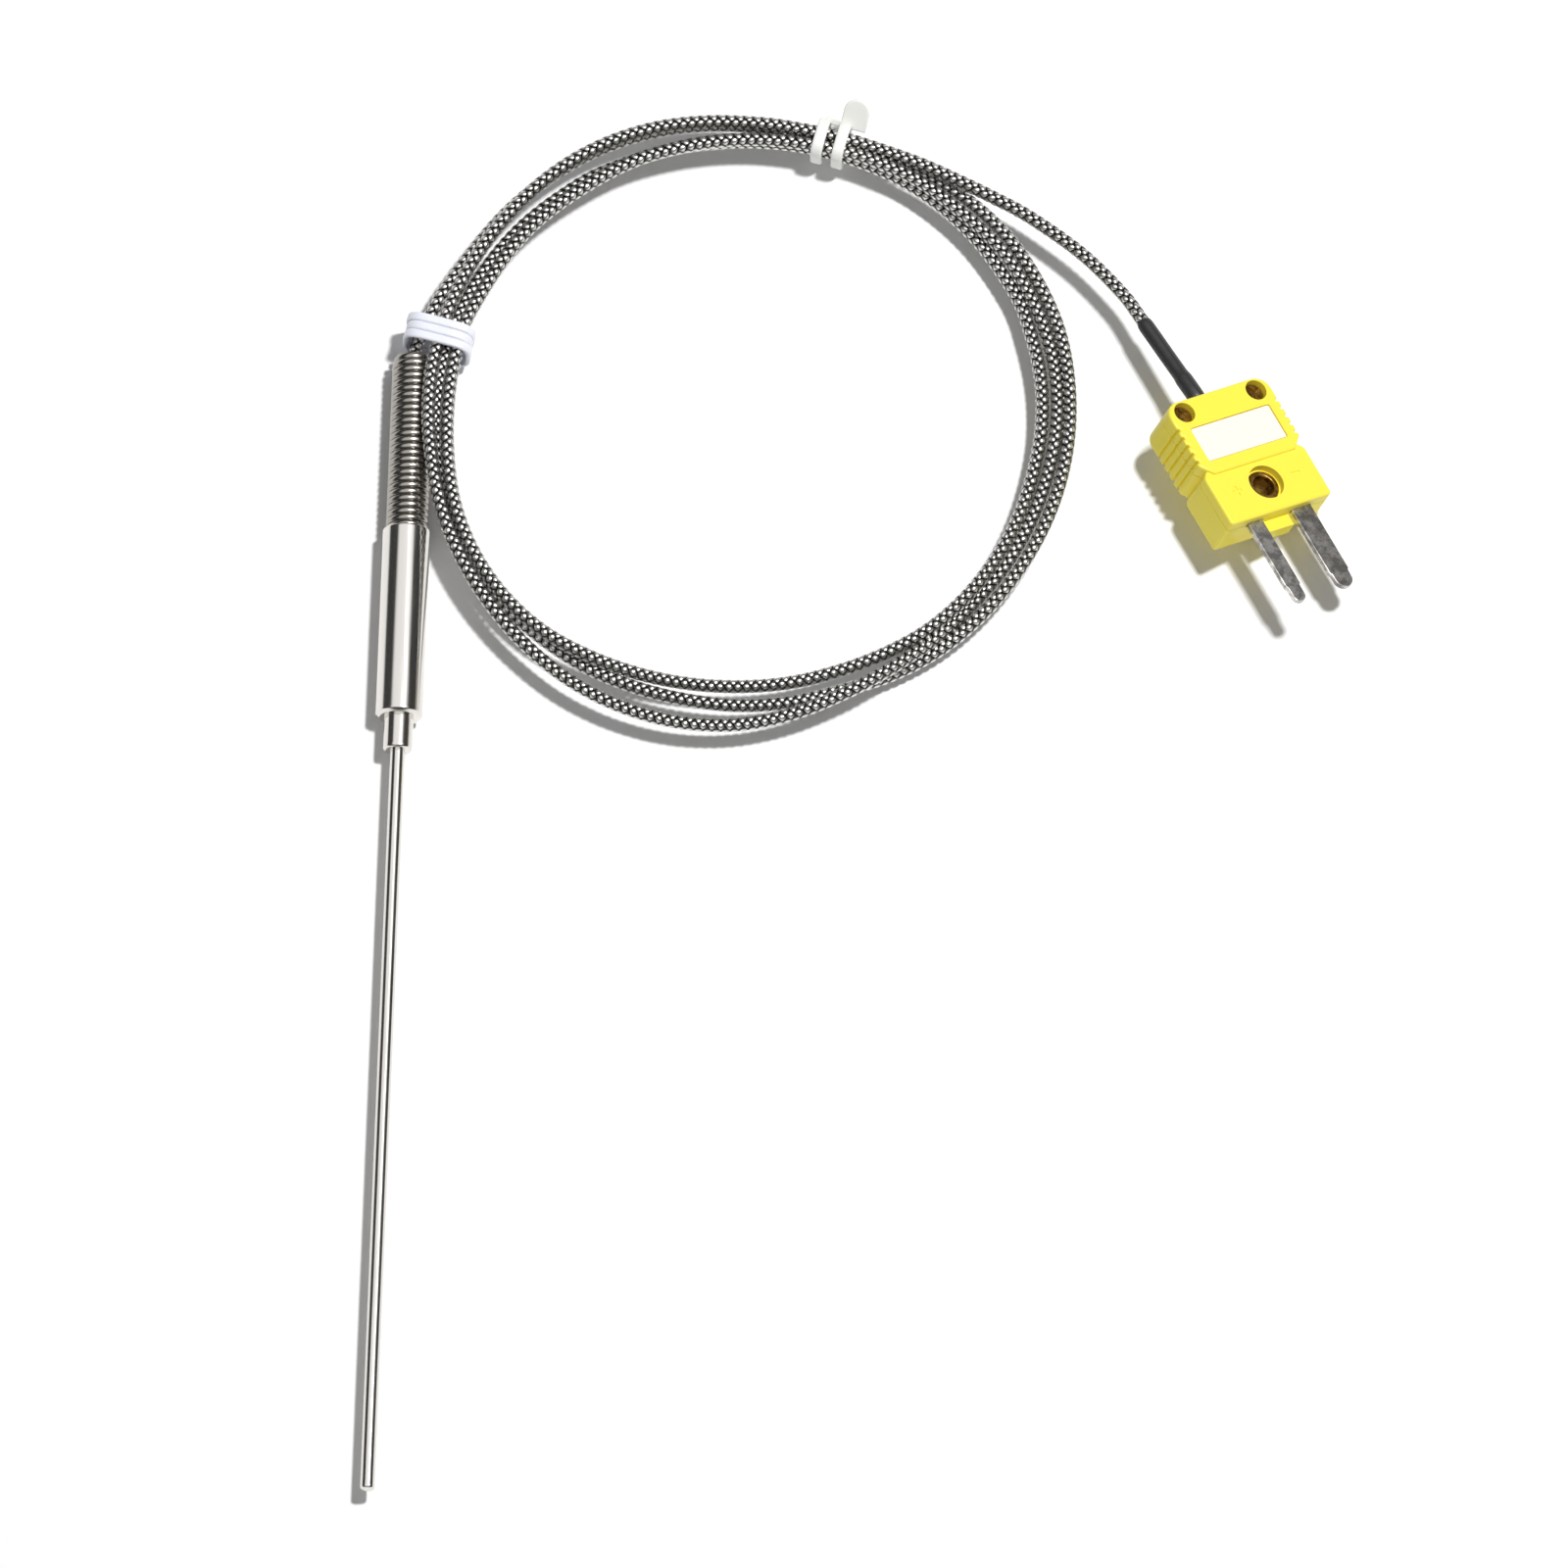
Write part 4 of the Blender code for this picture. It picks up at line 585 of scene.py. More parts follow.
braid_finish, tree, shader = finish("drawn stainless braid wire", Metallic=1.0, Roughness=0.3)
across = node(tree, "ShaderNodeAttribute", attribute_name="across")
parts = node(tree, "ShaderNodeSeparateXYZ", {"Vector": across.outputs["Vector"]})
wires = node(
    tree,
    "ShaderNodeMath",
    {0: parts.outputs["Y"], 1: math.pi * WIRES_IN_RIBBON / RIBBON_WIDTH},
    operation="MULTIPLY",
)
rounding = node(tree, "ShaderNodeMath", {0: wires.outputs[0]}, operation="COSINE")
height = node(tree, "ShaderNodeMath", {0: rounding.outputs[0]}, operation="ABSOLUTE")
roughen(tree, shader, height.outputs[0], 0.02 * MM, 0.4)
# Painted shade: the colour is darker in the grooves between the wires of a ribbon.
color = ramp(tree, height.outputs[0], [(0.0, hex_color("A5A29D")), (0.5, hex_color("F0EEEA"))])
# Painted shade: where a ribbon dives under the next one, little light reaches it, so its colour is
# darkened there.
rise = node(tree, "ShaderNodeAttribute", attribute_name="rise")
depth = node(tree, "ShaderNodeMapRange", {"Value": rise.outputs["Fac"], "From Min": -1.0})
painted_dive_shade = ramp(tree, depth.outputs[0], [(0.5, grey(0.02)), (0.92, grey(1.0))])
shaded = node(
    tree,
    "ShaderNodeMix",
    {"Factor": 1.0, "A": color, "B": painted_dive_shade},
    data_type="RGBA",
    blend_type="MULTIPLY",
)
tree.links.new(shaded.outputs["Result"], shader.inputs["Base Color"])

core_finish, _, _ = finish("dark fibreglass core", "1C1A19", Roughness=0.8)
print("braid finishes")

# %% Wind both hands of the braid
braid_inputs = {
    "Carriers": CARRIERS,
    "Lay": BRAID_LAY,
    "Radius": CABLE_DIAMETER / 2 + BRAID_SWELL - BRAID_WAVE - RIBBON_THICKNESS / 2,
    "Wave": BRAID_WAVE,
    "Ribbon Width": RIBBON_WIDTH,
    "Ribbon Thickness": RIBBON_THICKNESS,
    "Profile Points": 6,
    "Drawn In": 0.0,
    "Drawn From": 0.0,
    "Material": braid_finish,
}
braid_right = wind("braid_right_hand", cable_path, {**braid_inputs, "Hand": 1.0})
braid_left = wind("braid_left_hand", cable_path, {**braid_inputs, "Hand": -1.0})
core_inputs = {
    **braid_inputs,
    "Carriers": 1,
    "Hand": 0.0,
    "Radius": 0.0,
    "Wave": 0.0,
    "Ribbon Width": CORE_DIAMETER,
    "Ribbon Thickness": CORE_DIAMETER,
    "Profile Points": 8,
    "Material": core_finish,
}
# The core hardly shows, so it keeps only some of the points.
core = wind("cable_core", cable_path[::CORE_STEP], core_inputs)
for part in (braid_right, braid_left, core):
    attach(part, "root")
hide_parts("cable_lead_in", "cable_coil", "cable_lead_out")
print(len(braid_right.data.polygons), "faces in one hand of the braid")

# %% [markdown]
# ## Shapes
# Real edges are never sharp, and a rounded edge is what catches the light. Every outline gets its
# corners rounded, and every long flat stretch a holding ring near its ends, so that smooth shading
# stays flat on it.

# %% Outlines and skins
HOLD = 0.05 * MM
SHARP_FROM = math.radians(40)


def soften(points, reach, steps=4, closed=True):
    """Round the corners of an outline, each over the same reach to both sides."""
    softened = []
    for i, corner in enumerate(points):
        if not closed and i in (0, len(points) - 1):
            softened.append(corner)
            continue
        before = points[i - 1] - corner
        after = points[(i + 1) % len(points)] - corner
        size = min(reach, before.length * 0.45, after.length * 0.45)
        start = corner + before.normalized() * size
        end = corner + after.normalized() * size
        for k in range(steps + 1):
            t = k / steps
            softened.append(start.lerp(corner, t).lerp(corner.lerp(end, t), t))
    return softened


def hold(points, reach):
    """Add a point near both ends of each long stretch of an open profile."""
    held = [points[0]]
    for a, b in zip(points, points[1:]):
        if (b - a).length > 4 * reach:
            held += [a + (b - a).normalized() * reach, b + (a - b).normalized() * reach]
        held.append(b)
    return held


def inset(outline, reach):
    """A counterclockwise outline moved inwards by the same reach all round."""
    moved = []
    for i, corner in enumerate(outline):
        before = (corner - outline[i - 1]).normalized()
        after = (outline[(i + 1) % len(outline)] - corner).normalized()
        a = Vector((-before.y, before.x))
        b = Vector((-after.y, after.x))
        moved.append(corner + (a + b) * (reach / (1 + a.dot(b))))
    return moved


def skin(name, rings, closed=False):
    """A closed mesh through a row of rings that have the same number of points."""
    bm = bmesh.new()
    rows = [[bm.verts.new(point) for point in ring] for ring in rings]
    following = rows[1:] + rows[:1] if closed else rows[1:]
    for a, b in zip(rows, following):
        for k in range(len(a)):
            n = (k + 1) % len(a)
            bm.faces.new((a[k], a[n], b[n], b[k]))
    if not closed:
        bm.faces.new(rows[0])
        bm.faces.new(rows[-1])
    bmesh.ops.recalc_face_normals(bm, faces=bm.faces)
    mesh = bpy.data.meshes.new(name)
    bm.to_mesh(mesh)
    bm.free()
    return mesh


def turned(name, profile, axis="Y", sides=64, closed=False):
    """A piece turned on a lathe from a profile of (along, radius) points."""
    rings = []
    for along, radius in profile:
        ring = []
        for k in range(sides):
            c = radius * math.cos(math.tau * k / sides)
            s = radius * math.sin(math.tau * k / sides)
            ring.append({"X": (along, c, s), "Y": (c, along, s), "Z": (c, s, along)}[axis])
        rings.append(ring)
    return skin(name, rings, closed)


def moulded(name, outline, low, high, edge_low, edge_high, hold_by):
    """An outline drawn up from low to high, its edges rounded and then held at both ends."""
    rows = []
    steps = 4
    for level, edge, up in ((low, edge_low, 1), (high, edge_high, -1)):
        stretch = [(level, edge + hold_by)]
        for k in range(steps + 1):
            turn = math.pi / 2 * (1 - k / steps)
            away = edge * (1 - math.sin(turn))
            stretch.append((level + up * away, edge * (1 - math.cos(turn))))
        stretch.append((level + up * (edge + hold_by), 0.0))
        rows += stretch if up == 1 else stretch[::-1]
    return skin(name, [[(*p, z) for p in inset(outline, reach)] for z, reach in rows])


def flat(points):
    return [Vector(p) for p in points]


def piece(name, mesh, material, slot, *nodes):
    """Link a finished mesh that rides on the body and stands for these solids."""
    mesh.materials.clear()
    mesh.materials.append(material)
    mesh.shade_smooth()
    mesh.set_sharp_from_angle(angle=SHARP_FROM)
    made = place(name, mesh)
    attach(made, "root")
    if nodes:
        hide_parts(*nodes)
    return made


print("shape helpers")

# %% [markdown]
# ## Probe
# The sheath, its ferrule and the sleeve are stainless steel, drawn or turned and then polished. The
# polish leaves faint lines along the piece, which stretch each reflection into a long streak.

# %% Polished steel
steel_finish, tree, shader = finish("polished stainless steel", "E2DFDA", Metallic=1.0)
where = node(tree, "ShaderNodeTexCoord")
drawn_out = node(
    tree,
    "ShaderNodeMapping",
    {"Vector": where.outputs["Object"], "Scale": (9000.0, 120.0, 9000.0)},
)
lines = node(
    tree,
    "ShaderNodeTexNoise",
    {"Vector": drawn_out.outputs[0], "Scale": 1.0, "Detail": 3.0},
)
polish = node(
    tree,
    "ShaderNodeMapRange",
    {"Value": lines.outputs[0], "From Min": 0.3, "From Max": 0.7, "To Min": 0.1, "To Max": 0.2},
)
tree.links.new(polish.outputs[0], shader.inputs["Roughness"])
roughen(tree, shader, lines.outputs[0], 0.001 * MM, 0.5)
print("steel finish")

# %% Sheath, ferrule and sleeve
SHEATH_RADIUS = 1.0 * MM
SHEATH_REACH = 107.6 * MM
FERRULE_RADIUS = 2.0 * MM
FERRULE_LENGTH = 4.8 * MM
FERRULE_ROUND = 0.5 * MM
SLEEVE_RADIUS = 3.25 * MM
SLEEVE_LENGTH = 27.5 * MM
SLEEVE_CHAMFER = 0.5 * MM
SPRING_SEAT = 2.0 * MM
SPRING_RADIUS = 2.9 * MM
BAR_END_HOLE = 0.05 * MM
SHEATH_INSIDE = 1 * MM

tip_y = -PROBE_HALF
ferrule_y = tip_y + SHEATH_REACH
sleeve_y = ferrule_y + FERRULE_LENGTH
spring_y = sleeve_y + SLEEVE_LENGTH


def bar(name, stations, rounding, *nodes):
    """A polished bar round the probe's axis, through (along, radius) stations."""
    profile = hold(soften(flat(stations), rounding, 6, closed=False), 0.1 * MM)
    mesh = turned(name, profile)
    mesh.transform(Matrix.Translation((0, 0, AXIS_Z)))
    return piece(name, mesh, steel_finish, "steel", *nodes)


bar(
    "sheath_polished",
    [
        (tip_y, BAR_END_HOLE),
        (tip_y, SHEATH_RADIUS),
        (ferrule_y + SHEATH_INSIDE, SHEATH_RADIUS),
        (ferrule_y + SHEATH_INSIDE, BAR_END_HOLE),
    ],
    0.8 * MM,
    "sheath",
)
bar(
    "ferrule_polished",
    [
        (ferrule_y, SHEATH_RADIUS + 0.02 * MM),
        (ferrule_y, FERRULE_RADIUS),
        (sleeve_y, FERRULE_RADIUS),
    ],
    FERRULE_ROUND,
    "sheath_ferrule",
)
bar(
    "sleeve_polished",
    [
        (sleeve_y, FERRULE_RADIUS - 0.1 * MM),
        (sleeve_y, SLEEVE_RADIUS - SLEEVE_CHAMFER),
        (sleeve_y + SLEEVE_CHAMFER * 0.8, SLEEVE_RADIUS),
        (spring_y - SLEEVE_CHAMFER * 0.4, SLEEVE_RADIUS),
        (spring_y, SPRING_RADIUS + 0.15 * MM),
        (spring_y, SPRING_RADIUS - 0.6 * MM),
    ],
    0.12 * MM,
    "transition_sleeve",
)
print("sheath, ferrule and sleeve")

# %% [markdown]
# ## Strain relief spring
# One drawn wire wound close, with its last turns drawn in towards the cable. It comes from the
# winding tree, as a single ribbon that lies rather flat.

# %% Spring
SPRING_WIRE = 0.93 * MM
SPRING_WIRE_DEPTH = 0.45 * MM
SPRING_PITCH = 0.95 * MM
SPRING_END_RADIUS = 2.3 * MM
SPRING_TAPER = 1.5 * SPRING_PITCH
SAMPLES_PER_TURN = 24

spring_finish, _, _ = finish("drawn spring steel", "A39F99", Metallic=1.0, Roughness=0.24)
spring_from = spring_y - SPRING_SEAT + SPRING_WIRE / 2
spring_to = PROBE_HALF - SPRING_WIRE / 2
spring_reach = spring_to - spring_from
spring_points = round(spring_reach / SPRING_PITCH * SAMPLES_PER_TURN)
spring_axis = [
    Vector((0, spring_from + spring_reach * k / spring_points, AXIS_Z))
    for k in range(spring_points + 1)
]
spring = wind(
    "spring_wire",
    spring_axis,
    {
        "Carriers": 1,
        "Lay": SPRING_PITCH,
        "Hand": 1.0,
        "Radius": SPRING_RADIUS - SPRING_WIRE_DEPTH / 2,
        "Wave": 0.0,
        "Ribbon Width": SPRING_WIRE,
        "Ribbon Thickness": SPRING_WIRE_DEPTH,
        "Profile Points": 10,
        "Drawn In": SPRING_RADIUS - SPRING_END_RADIUS,
        "Drawn From": spring_reach - SPRING_TAPER,
        "Material": spring_finish,
    },
)
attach(spring, "root")
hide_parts("strain_relief_spring")
print(f"spring of {spring_reach / SPRING_PITCH:.0f} turns")

# %% [markdown]
# ## Heat-shrink sleeve
# Black polyolefin, shrunk over the end of the cable: satin, a little uneven, and thicker where a
# second layer meets the plug.

# %% Heat-shrink
SHRINK_RADIUS = 1.1 * MM
SHRINK_COLLAR = 1.22 * MM
SHRINK_LENGTH = 15.0 * MM
SHRINK_COLLAR_LENGTH = 4.5 * MM
SHRINK_STEP = 0.9 * MM

rubber_finish, tree, shader = finish("black polyolefin heat-shrink", "2A2A2B", Roughness=0.45)
roughen(tree, shader, noise(tree, 900.0, 2.0), 0.06 * MM, 0.6)


def tube(name, path, radii, sides=32):
    """A round tube along a path, with its own radius at each point and closed ends."""
    rings = []
    for i, centre in enumerate(path):
        ahead = (path[min(i + 1, len(path) - 1)] - path[max(i - 1, 0)]).normalized()
        side = ahead.cross(Vector((0, 0, 1))).normalized()
        up = side.cross(ahead)
        ring = []
        for k in range(sides):
            turn = math.tau * k / sides
            ring.append(centre + (side * math.cos(turn) + up * math.sin(turn)) * radii[i])
        rings.append(ring)
    return skin(name, rings)


backwards = [plug_entry + plug_ahead * 0.5 * MM]
run_back = [0.0]
for point in reversed(fine_path):
    if (point - plug_entry).dot(plug_ahead) < -0.2 * MM:
        run_back.append(run_back[-1] + (point - backwards[-1]).length)
        backwards.append(point)
    if run_back[-1] > SHRINK_LENGTH:
        break
shrink_radii = []
for run in run_back:
    collar = 1 - step_between(run, SHRINK_COLLAR_LENGTH, SHRINK_COLLAR_LENGTH + SHRINK_STEP)
    shrink_radii.append(SHRINK_RADIUS + (SHRINK_COLLAR - SHRINK_RADIUS) * collar)
shrink_radii[-1] = CABLE_DIAMETER / 2 + 0.02 * MM
shrink_radii[-2] = SHRINK_RADIUS - 0.03 * MM
shrink_mesh = tube("heat_shrink", backwards, shrink_radii)
shrink = piece("heat_shrink", shrink_mesh, rubber_finish, "heat_shrink", "heat_shrink_sleeve")
print(f"heat-shrink {run_back[-1] / MM:.1f} mm long")

# %% [markdown]
# ## Ties
# Both ties are soft plastic. Light goes a little way into it, which lifts its shadows, so the
# finish has some light scattered under the surface. The size of a tie follows from the turns that
# it covers.

# %% Tie finishes and frame
TOP_TIE_AT = 103.3
SIDE_TIE_AT = 13.5
TIE_THICKNESS = 0.7 * MM
TIE_COVERS = 4
SNUG = 0.1 * MM
BAND_SIDES = 72
BAND_POWER = 5.0


def tie_finish(name, color):
    made, tree, shader = finish(name, color, Roughness=0.38)
    shader.inputs["Subsurface Weight"].default_value = 0.4
    shader.inputs["Subsurface Radius"].default_value = (0.8, 0.8, 0.8)
    shader.inputs["Subsurface Scale"].default_value = 0.6 * MM
    roughen(tree, shader, noise(tree, 1600.0, 2.0), 0.03 * MM, 0.4)
    return made


def tie_frame(angle):
    """Outward and running directions of the bundle at an angle."""
    turn = math.radians(angle)
    out = Vector((-math.cos(turn), math.sin(turn), 0))
    return out, Vector((math.sin(turn), math.cos(turn), 0))


def bundle_near(angle):
    """Inner and outer radius, lowest and highest of the bundle on the stretch that a tie covers."""
    covered = []
    for k in range(2 * TIE_COVERS + 1):
        covered += turns_at(angle + k - TIE_COVERS)
    reaches, lifts = zip(*covered)
    half = CABLE_DIAMETER / MM / 2
    return min(reaches) - half, max(reaches) + half, min(lifts) - half, max(lifts) + half


def band(name, middle, out, running, half_out, half_up, width, thickness):
    """A soft-edged band round the bundle, on a rounded square of the given halves."""
    outline = []
    for k in range(BAND_SIDES):
        c = math.cos(math.tau * (k + 0.5) / BAND_SIDES)
        s = math.sin(math.tau * (k + 0.5) / BAND_SIDES)
        size = (abs(c) ** BAND_POWER + abs(s) ** BAND_POWER) ** (-1 / BAND_POWER)
        outline.append((half_out * size * c, half_up * size * s))
    corners = flat([(0, -width / 2), (thickness, -width / 2), (thickness, width / 2), (0, width / 2)])
    section = soften(corners, thickness * 0.42, 3)
    up = Vector((0, 0, 1))
    rings = []
    for k, (a, b) in enumerate(outline):
        before = outline[k - 1]
        after = outline[(k + 1) % BAND_SIDES]
        outward = (out * (after[1] - before[1]) - up * (after[0] - before[0])).normalized()
        centre = middle + out * a + up * b
        rings.append([centre + outward * t + running * r for t, r in section])
    return skin(name, rings, closed=True)


def joined(name, meshes):
    """Several closed meshes kept as one."""
    bm = bmesh.new()
    for mesh in meshes:
        bm.from_mesh(mesh)
    whole = bpy.data.meshes.new(name)
    bm.to_mesh(whole)
    bm.free()
    return whole


clear_finish = tie_finish("translucent nylon", "EEEEEA")
white_finish = tie_finish("white vinyl tie", "E9EBF4")
print("tie finishes")

# %% Both ties
TOP_TIE_BAND = 1.6 * MM
TOP_TIE_SPACING = 2.9 * MM
TAB_WIDTH = 3.6 * MM
TAB_HEIGHT = 4.4 * MM
TAB_THICKNESS = 0.8 * MM
TAB_STRAP = 1.0 * MM
TAB_EDGE = TAB_THICKNESS * 0.3
TAB_LEAN = 0.75
TAB_RISE = 0.45
SIDE_TIE_BAND = 1.25 * MM
SIDE_TIE_SLACK = 1.0 * MM
SIDE_TIE_DROP = 2.5 * MM
# How much wider than the bundle and how far outwards each wrap is, in millimetres
SIDE_TIE_WRAPS = ((0.0, -0.1), (-0.12, 0.0), (0.02, 0.1))

out, running = tie_frame(TOP_TIE_AT)
out_low, out_high, up_low, up_high = bundle_near(TOP_TIE_AT)
middle = coil_point(TOP_TIE_AT, (out_low + out_high) / 2, (up_low + up_high) / 2)
half_out = (out_high - out_low) / 2 * MM + SNUG
half_up = (up_high - up_low) / 2 * MM + SNUG
meshes = []
for side in (-1, 1):
    at = middle + running * (side * TOP_TIE_SPACING / 2)
    meshes.append(band("band", at, out, running, half_out, half_up, TOP_TIE_BAND, TIE_THICKNESS))
left = TOP_TIE_SPACING / 2 - TOP_TIE_BAND / 2
right = left + TAB_WIDTH
tab_outline = [(-TOP_TIE_SPACING / 2, 0), (right, 0)]
for k in range(13):
    turn = math.pi * k / 12
    tab_outline.append(
        (
            (left + right) / 2 + math.cos(turn) * TAB_WIDTH / 2,
            TAB_HEIGHT - TAB_WIDTH / 2 + math.sin(turn) * TAB_WIDTH / 2,
        )
    )
tab_outline += [(left, TAB_STRAP), (-TOP_TIE_SPACING / 2, TAB_STRAP)]
tab_half = TAB_THICKNESS / 2
tab = moulded("tab", flat(tab_outline), -tab_half, tab_half, TAB_EDGE, TAB_EDGE, HOLD)
lean = (out + Vector((0, 0, TAB_LEAN))).normalized()
root = middle + out * (half_out + TIE_THICKNESS * 0.3) + Vector((0, 0, half_up * TAB_RISE))
turned_to = Matrix((running, lean, running.cross(lean).normalized())).transposed().to_4x4()
tab.transform(Matrix.Translation(root) @ turned_to)
meshes.append(tab)
tie_top = piece("tie_top_nylon", joined("tie_top", meshes), clear_finish, "clear_nylon", "tie_top")

out, running = tie_frame(SIDE_TIE_AT)
out_low, out_high, up_low, up_high = bundle_near(SIDE_TIE_AT)
out_low -= SNUG / MM
out_high += (GAP + CABLE_DIAMETER + SIDE_TIE_SLACK) / MM
up_low -= SIDE_TIE_DROP / MM
up_high += SNUG / MM
half_out = (out_high - out_low) / 2 * MM
half_up = (up_high - up_low) / 2 * MM
centre = coil_point(SIDE_TIE_AT, (out_low + out_high) / 2, (up_low + up_high) / 2)
meshes = []
for wrap, (slack, shift) in enumerate(SIDE_TIE_WRAPS):
    at = centre + running * ((wrap - 1) * SIDE_TIE_BAND) + out * (shift * MM)
    reach = half_out + slack * MM
    width = SIDE_TIE_BAND * 0.98
    meshes.append(band("wrap", at, out, running, reach, half_up, width, TIE_THICKNESS))
wraps = joined("tie_side", meshes)
tie_side = piece("tie_side_vinyl", wraps, white_finish, "white_plastic", "tie_side")
print("both ties")

# %% [markdown]
# ## Plug
# The plug is drawn in millimetres in its own frame, x towards the pins and z up through the cover,
# because cuts come out clean at that size. Each finished mesh is then shrunk to metres and set down
# in its place.

# %% Cutting in the plug's frame
PLUG_SCALE = PLUG_POSE @ Matrix.Scale(MM, 4)


def carve(name, body, added=(), removed=()):
    """Join meshes to a body and cut others out of it."""
    made = place(name, body)
    helpers = [made]
    for operation, shapes in (("UNION", added), ("DIFFERENCE", removed)):
        for shape in shapes:
            helper = place("helper", shape)
            helpers.append(helper)
            step = made.modifiers.new(operation, "BOOLEAN")
            step.operation = operation
            step.solver = "EXACT"
            step.object = helper
    bpy.context.view_layer.update()
    cut = made.evaluated_get(bpy.context.evaluated_depsgraph_get())
    mesh = bpy.data.meshes.new_from_object(cut)
    for helper in helpers:
        bpy.data.objects.remove(helper)
    return mesh


plug_parts = []


def plug_piece(name, mesh, material, slot, *nodes):
    """Set a mesh down in the plug's place, and keep it with the others that the cable carries."""
    mesh.transform(PLUG_SCALE)
    made = piece(name, mesh, material, slot, *nodes)
    plug_parts.append(made)
    return made


def drill(radius, low, high, first, second, axis="Z", sides=48):
    """A round bar to cut with. It stands at x and y, or lies along x at y and z."""
    made = turned("drill", [(low, radius), (high, radius)], axis, sides)
    middle = (first, second, 0) if axis == "Z" else (0, first, second)
    made.transform(Matrix.Translation(middle))
    return made


def corners_of(x0, x1, y0, y1):
    """A rectangle's corners, counterclockwise."""
    return flat([(x0, y0), (x1, y0), (x1, y1), (x0, y1)])


def block(x0, x1, y0, y1, z0, z1, rounding=0.0):
    """A box to cut or join with, its upright edges rounded."""
    outline = corners_of(x0, x1, y0, y1)
    if rounding:
        outline = soften(outline, rounding)
    return skin("block", [[(*p, z) for p in outline] for z in (z0, z1)])


print("cutting helpers")

# %% Moulded plastic
plastic_finish, tree, shader = finish("yellow moulded plastic", "F6E548", Roughness=0.42)
roughen(tree, shader, noise(tree, 3500.0, 2.0), 0.012 * MM, 0.5)
label_finish, _, _ = finish("pale writing panel", "FCEBDD", Roughness=0.6)
print("plastic finishes")

# %% Plug halves
HALF_LENGTH = PLUG_LENGTH / MM / 2
HALF_WIDTH = PLUG_WIDTH / MM / 2
TOP = PLUG_THICKNESS / MM / 2
SPLIT = PLUG_SPLIT / MM
NOTCH_AT = 1.2
NOTCH_DEPTH = 0.85
REAR_ROUND = 2.2
FRONT_ROUND = 0.9
FRONT_STEP = 0.45
GRIPS = 5
GRIP_PITCH = 1.32
GRIP_WIDTH = 0.5
GRIP_DEPTH = 0.4
GRIP_FROM = NOTCH_AT - NOTCH_DEPTH - 0.1
SOFT_EDGE = 0.35
SPLIT_EDGE = 0.07
SPLIT_GAP = 0.03
PLUG_HOLD = 0.04
# A cut starts this far outside the plug.
CLEAR = 1
LABEL = (-5.4, 0.1, -6.8, 6.8)
LABEL_DEPTH = 0.35
LABEL_MARGIN = 0.1
LABEL_ROUND = 0.35
LABEL_HEIGHTS = (TOP - 0.3, TOP - 0.1)
SCREW_X = -7.9
SCREW_Y = 6.15
SCREW_WELL = 1.55
SCREW_WELL_DEPTH = 1.75
EYELET_X = 5.3
EYELET_WELL = 2.6
EYELET_HOLE = 1.95
CABLE_HOLE = 1.35
CABLE_HOLE_END = -6.5
SIGN_SIZE = 1.5
SIGN_STROKE = 0.35
SIGN_DEPTH = 0.15
SIGN_Y = 5.0
MINUS_HALF = 0.18
PIN_Y = 3.95
PINS = (("positive", -PIN_Y, 1.2), ("negative", PIN_Y, 1.6))
PIN_SLACK = 0.1
SLOT_FROM = 6
SLOT_HALF_HEIGHT = 0.5
TONGUE = (8.5, HALF_LENGTH + 1.7, -2.2, 2.2)


def rear_outline():
    """The rear block in plan, with its grip grooves, counterclockwise."""
    side = [(NOTCH_AT + NOTCH_DEPTH, HALF_WIDTH - 2 * NOTCH_DEPTH)]
    side.append((NOTCH_AT - NOTCH_DEPTH, HALF_WIDTH))
    for k in range(GRIPS):
        middle = GRIP_FROM - GRIP_PITCH * (k + 0.5)
        for x, depth in ((0.5, 0), (0.3, 1), (-0.3, 1), (-0.5, 0)):
            side.append((middle + x * GRIP_WIDTH, HALF_WIDTH - depth * GRIP_DEPTH))
    for k in range(8):
        turn = math.pi / 2 * (1 + k / 7)
        x = REAR_ROUND * (1 + math.cos(turn)) - HALF_LENGTH
        side.append((x, HALF_WIDTH - REAR_ROUND * (1 - math.sin(turn))))
    return flat(side + [(x, -y) for x, y in reversed(side)])


def front_outline():
    """The front block in plan, counterclockwise."""
    side = [(HALF_LENGTH, HALF_WIDTH)]
    side.append((NOTCH_AT + NOTCH_DEPTH, HALF_WIDTH))
    side.append((NOTCH_AT - NOTCH_DEPTH, HALF_WIDTH - 2 * NOTCH_DEPTH))
    return soften(flat(side + [(x, -y) for x, y in reversed(side)]), FRONT_ROUND * 0.6, 4)


def cross_outline(size, stroke):
    quarter = [(size / 2, -stroke / 2), (size / 2, stroke / 2), (stroke / 2, stroke / 2)]
    points = []
    for k in range(4):
        turn = Matrix.Rotation(math.pi / 2 * k, 2)
        points += [turn @ Vector(p) for p in quarter]
    return points


def signs(height):
    """A plus beside the narrow pin and a minus beside the wide one, to sink into the cover."""
    ends = (height, height + CLEAR)
    cross = cross_outline(SIGN_SIZE, SIGN_STROKE)
    plus = skin("plus", [[(*p, z) for p in cross] for z in ends])
    plus.transform(Matrix.Translation((EYELET_X, -SIGN_Y, 0)))
    across = (SIGN_Y - SIGN_SIZE / 2, SIGN_Y + SIGN_SIZE / 2)
    minus = block(EYELET_X - MINUS_HALF, EYELET_X + MINUS_HALF, *across, *ends)
    return [plus, minus]


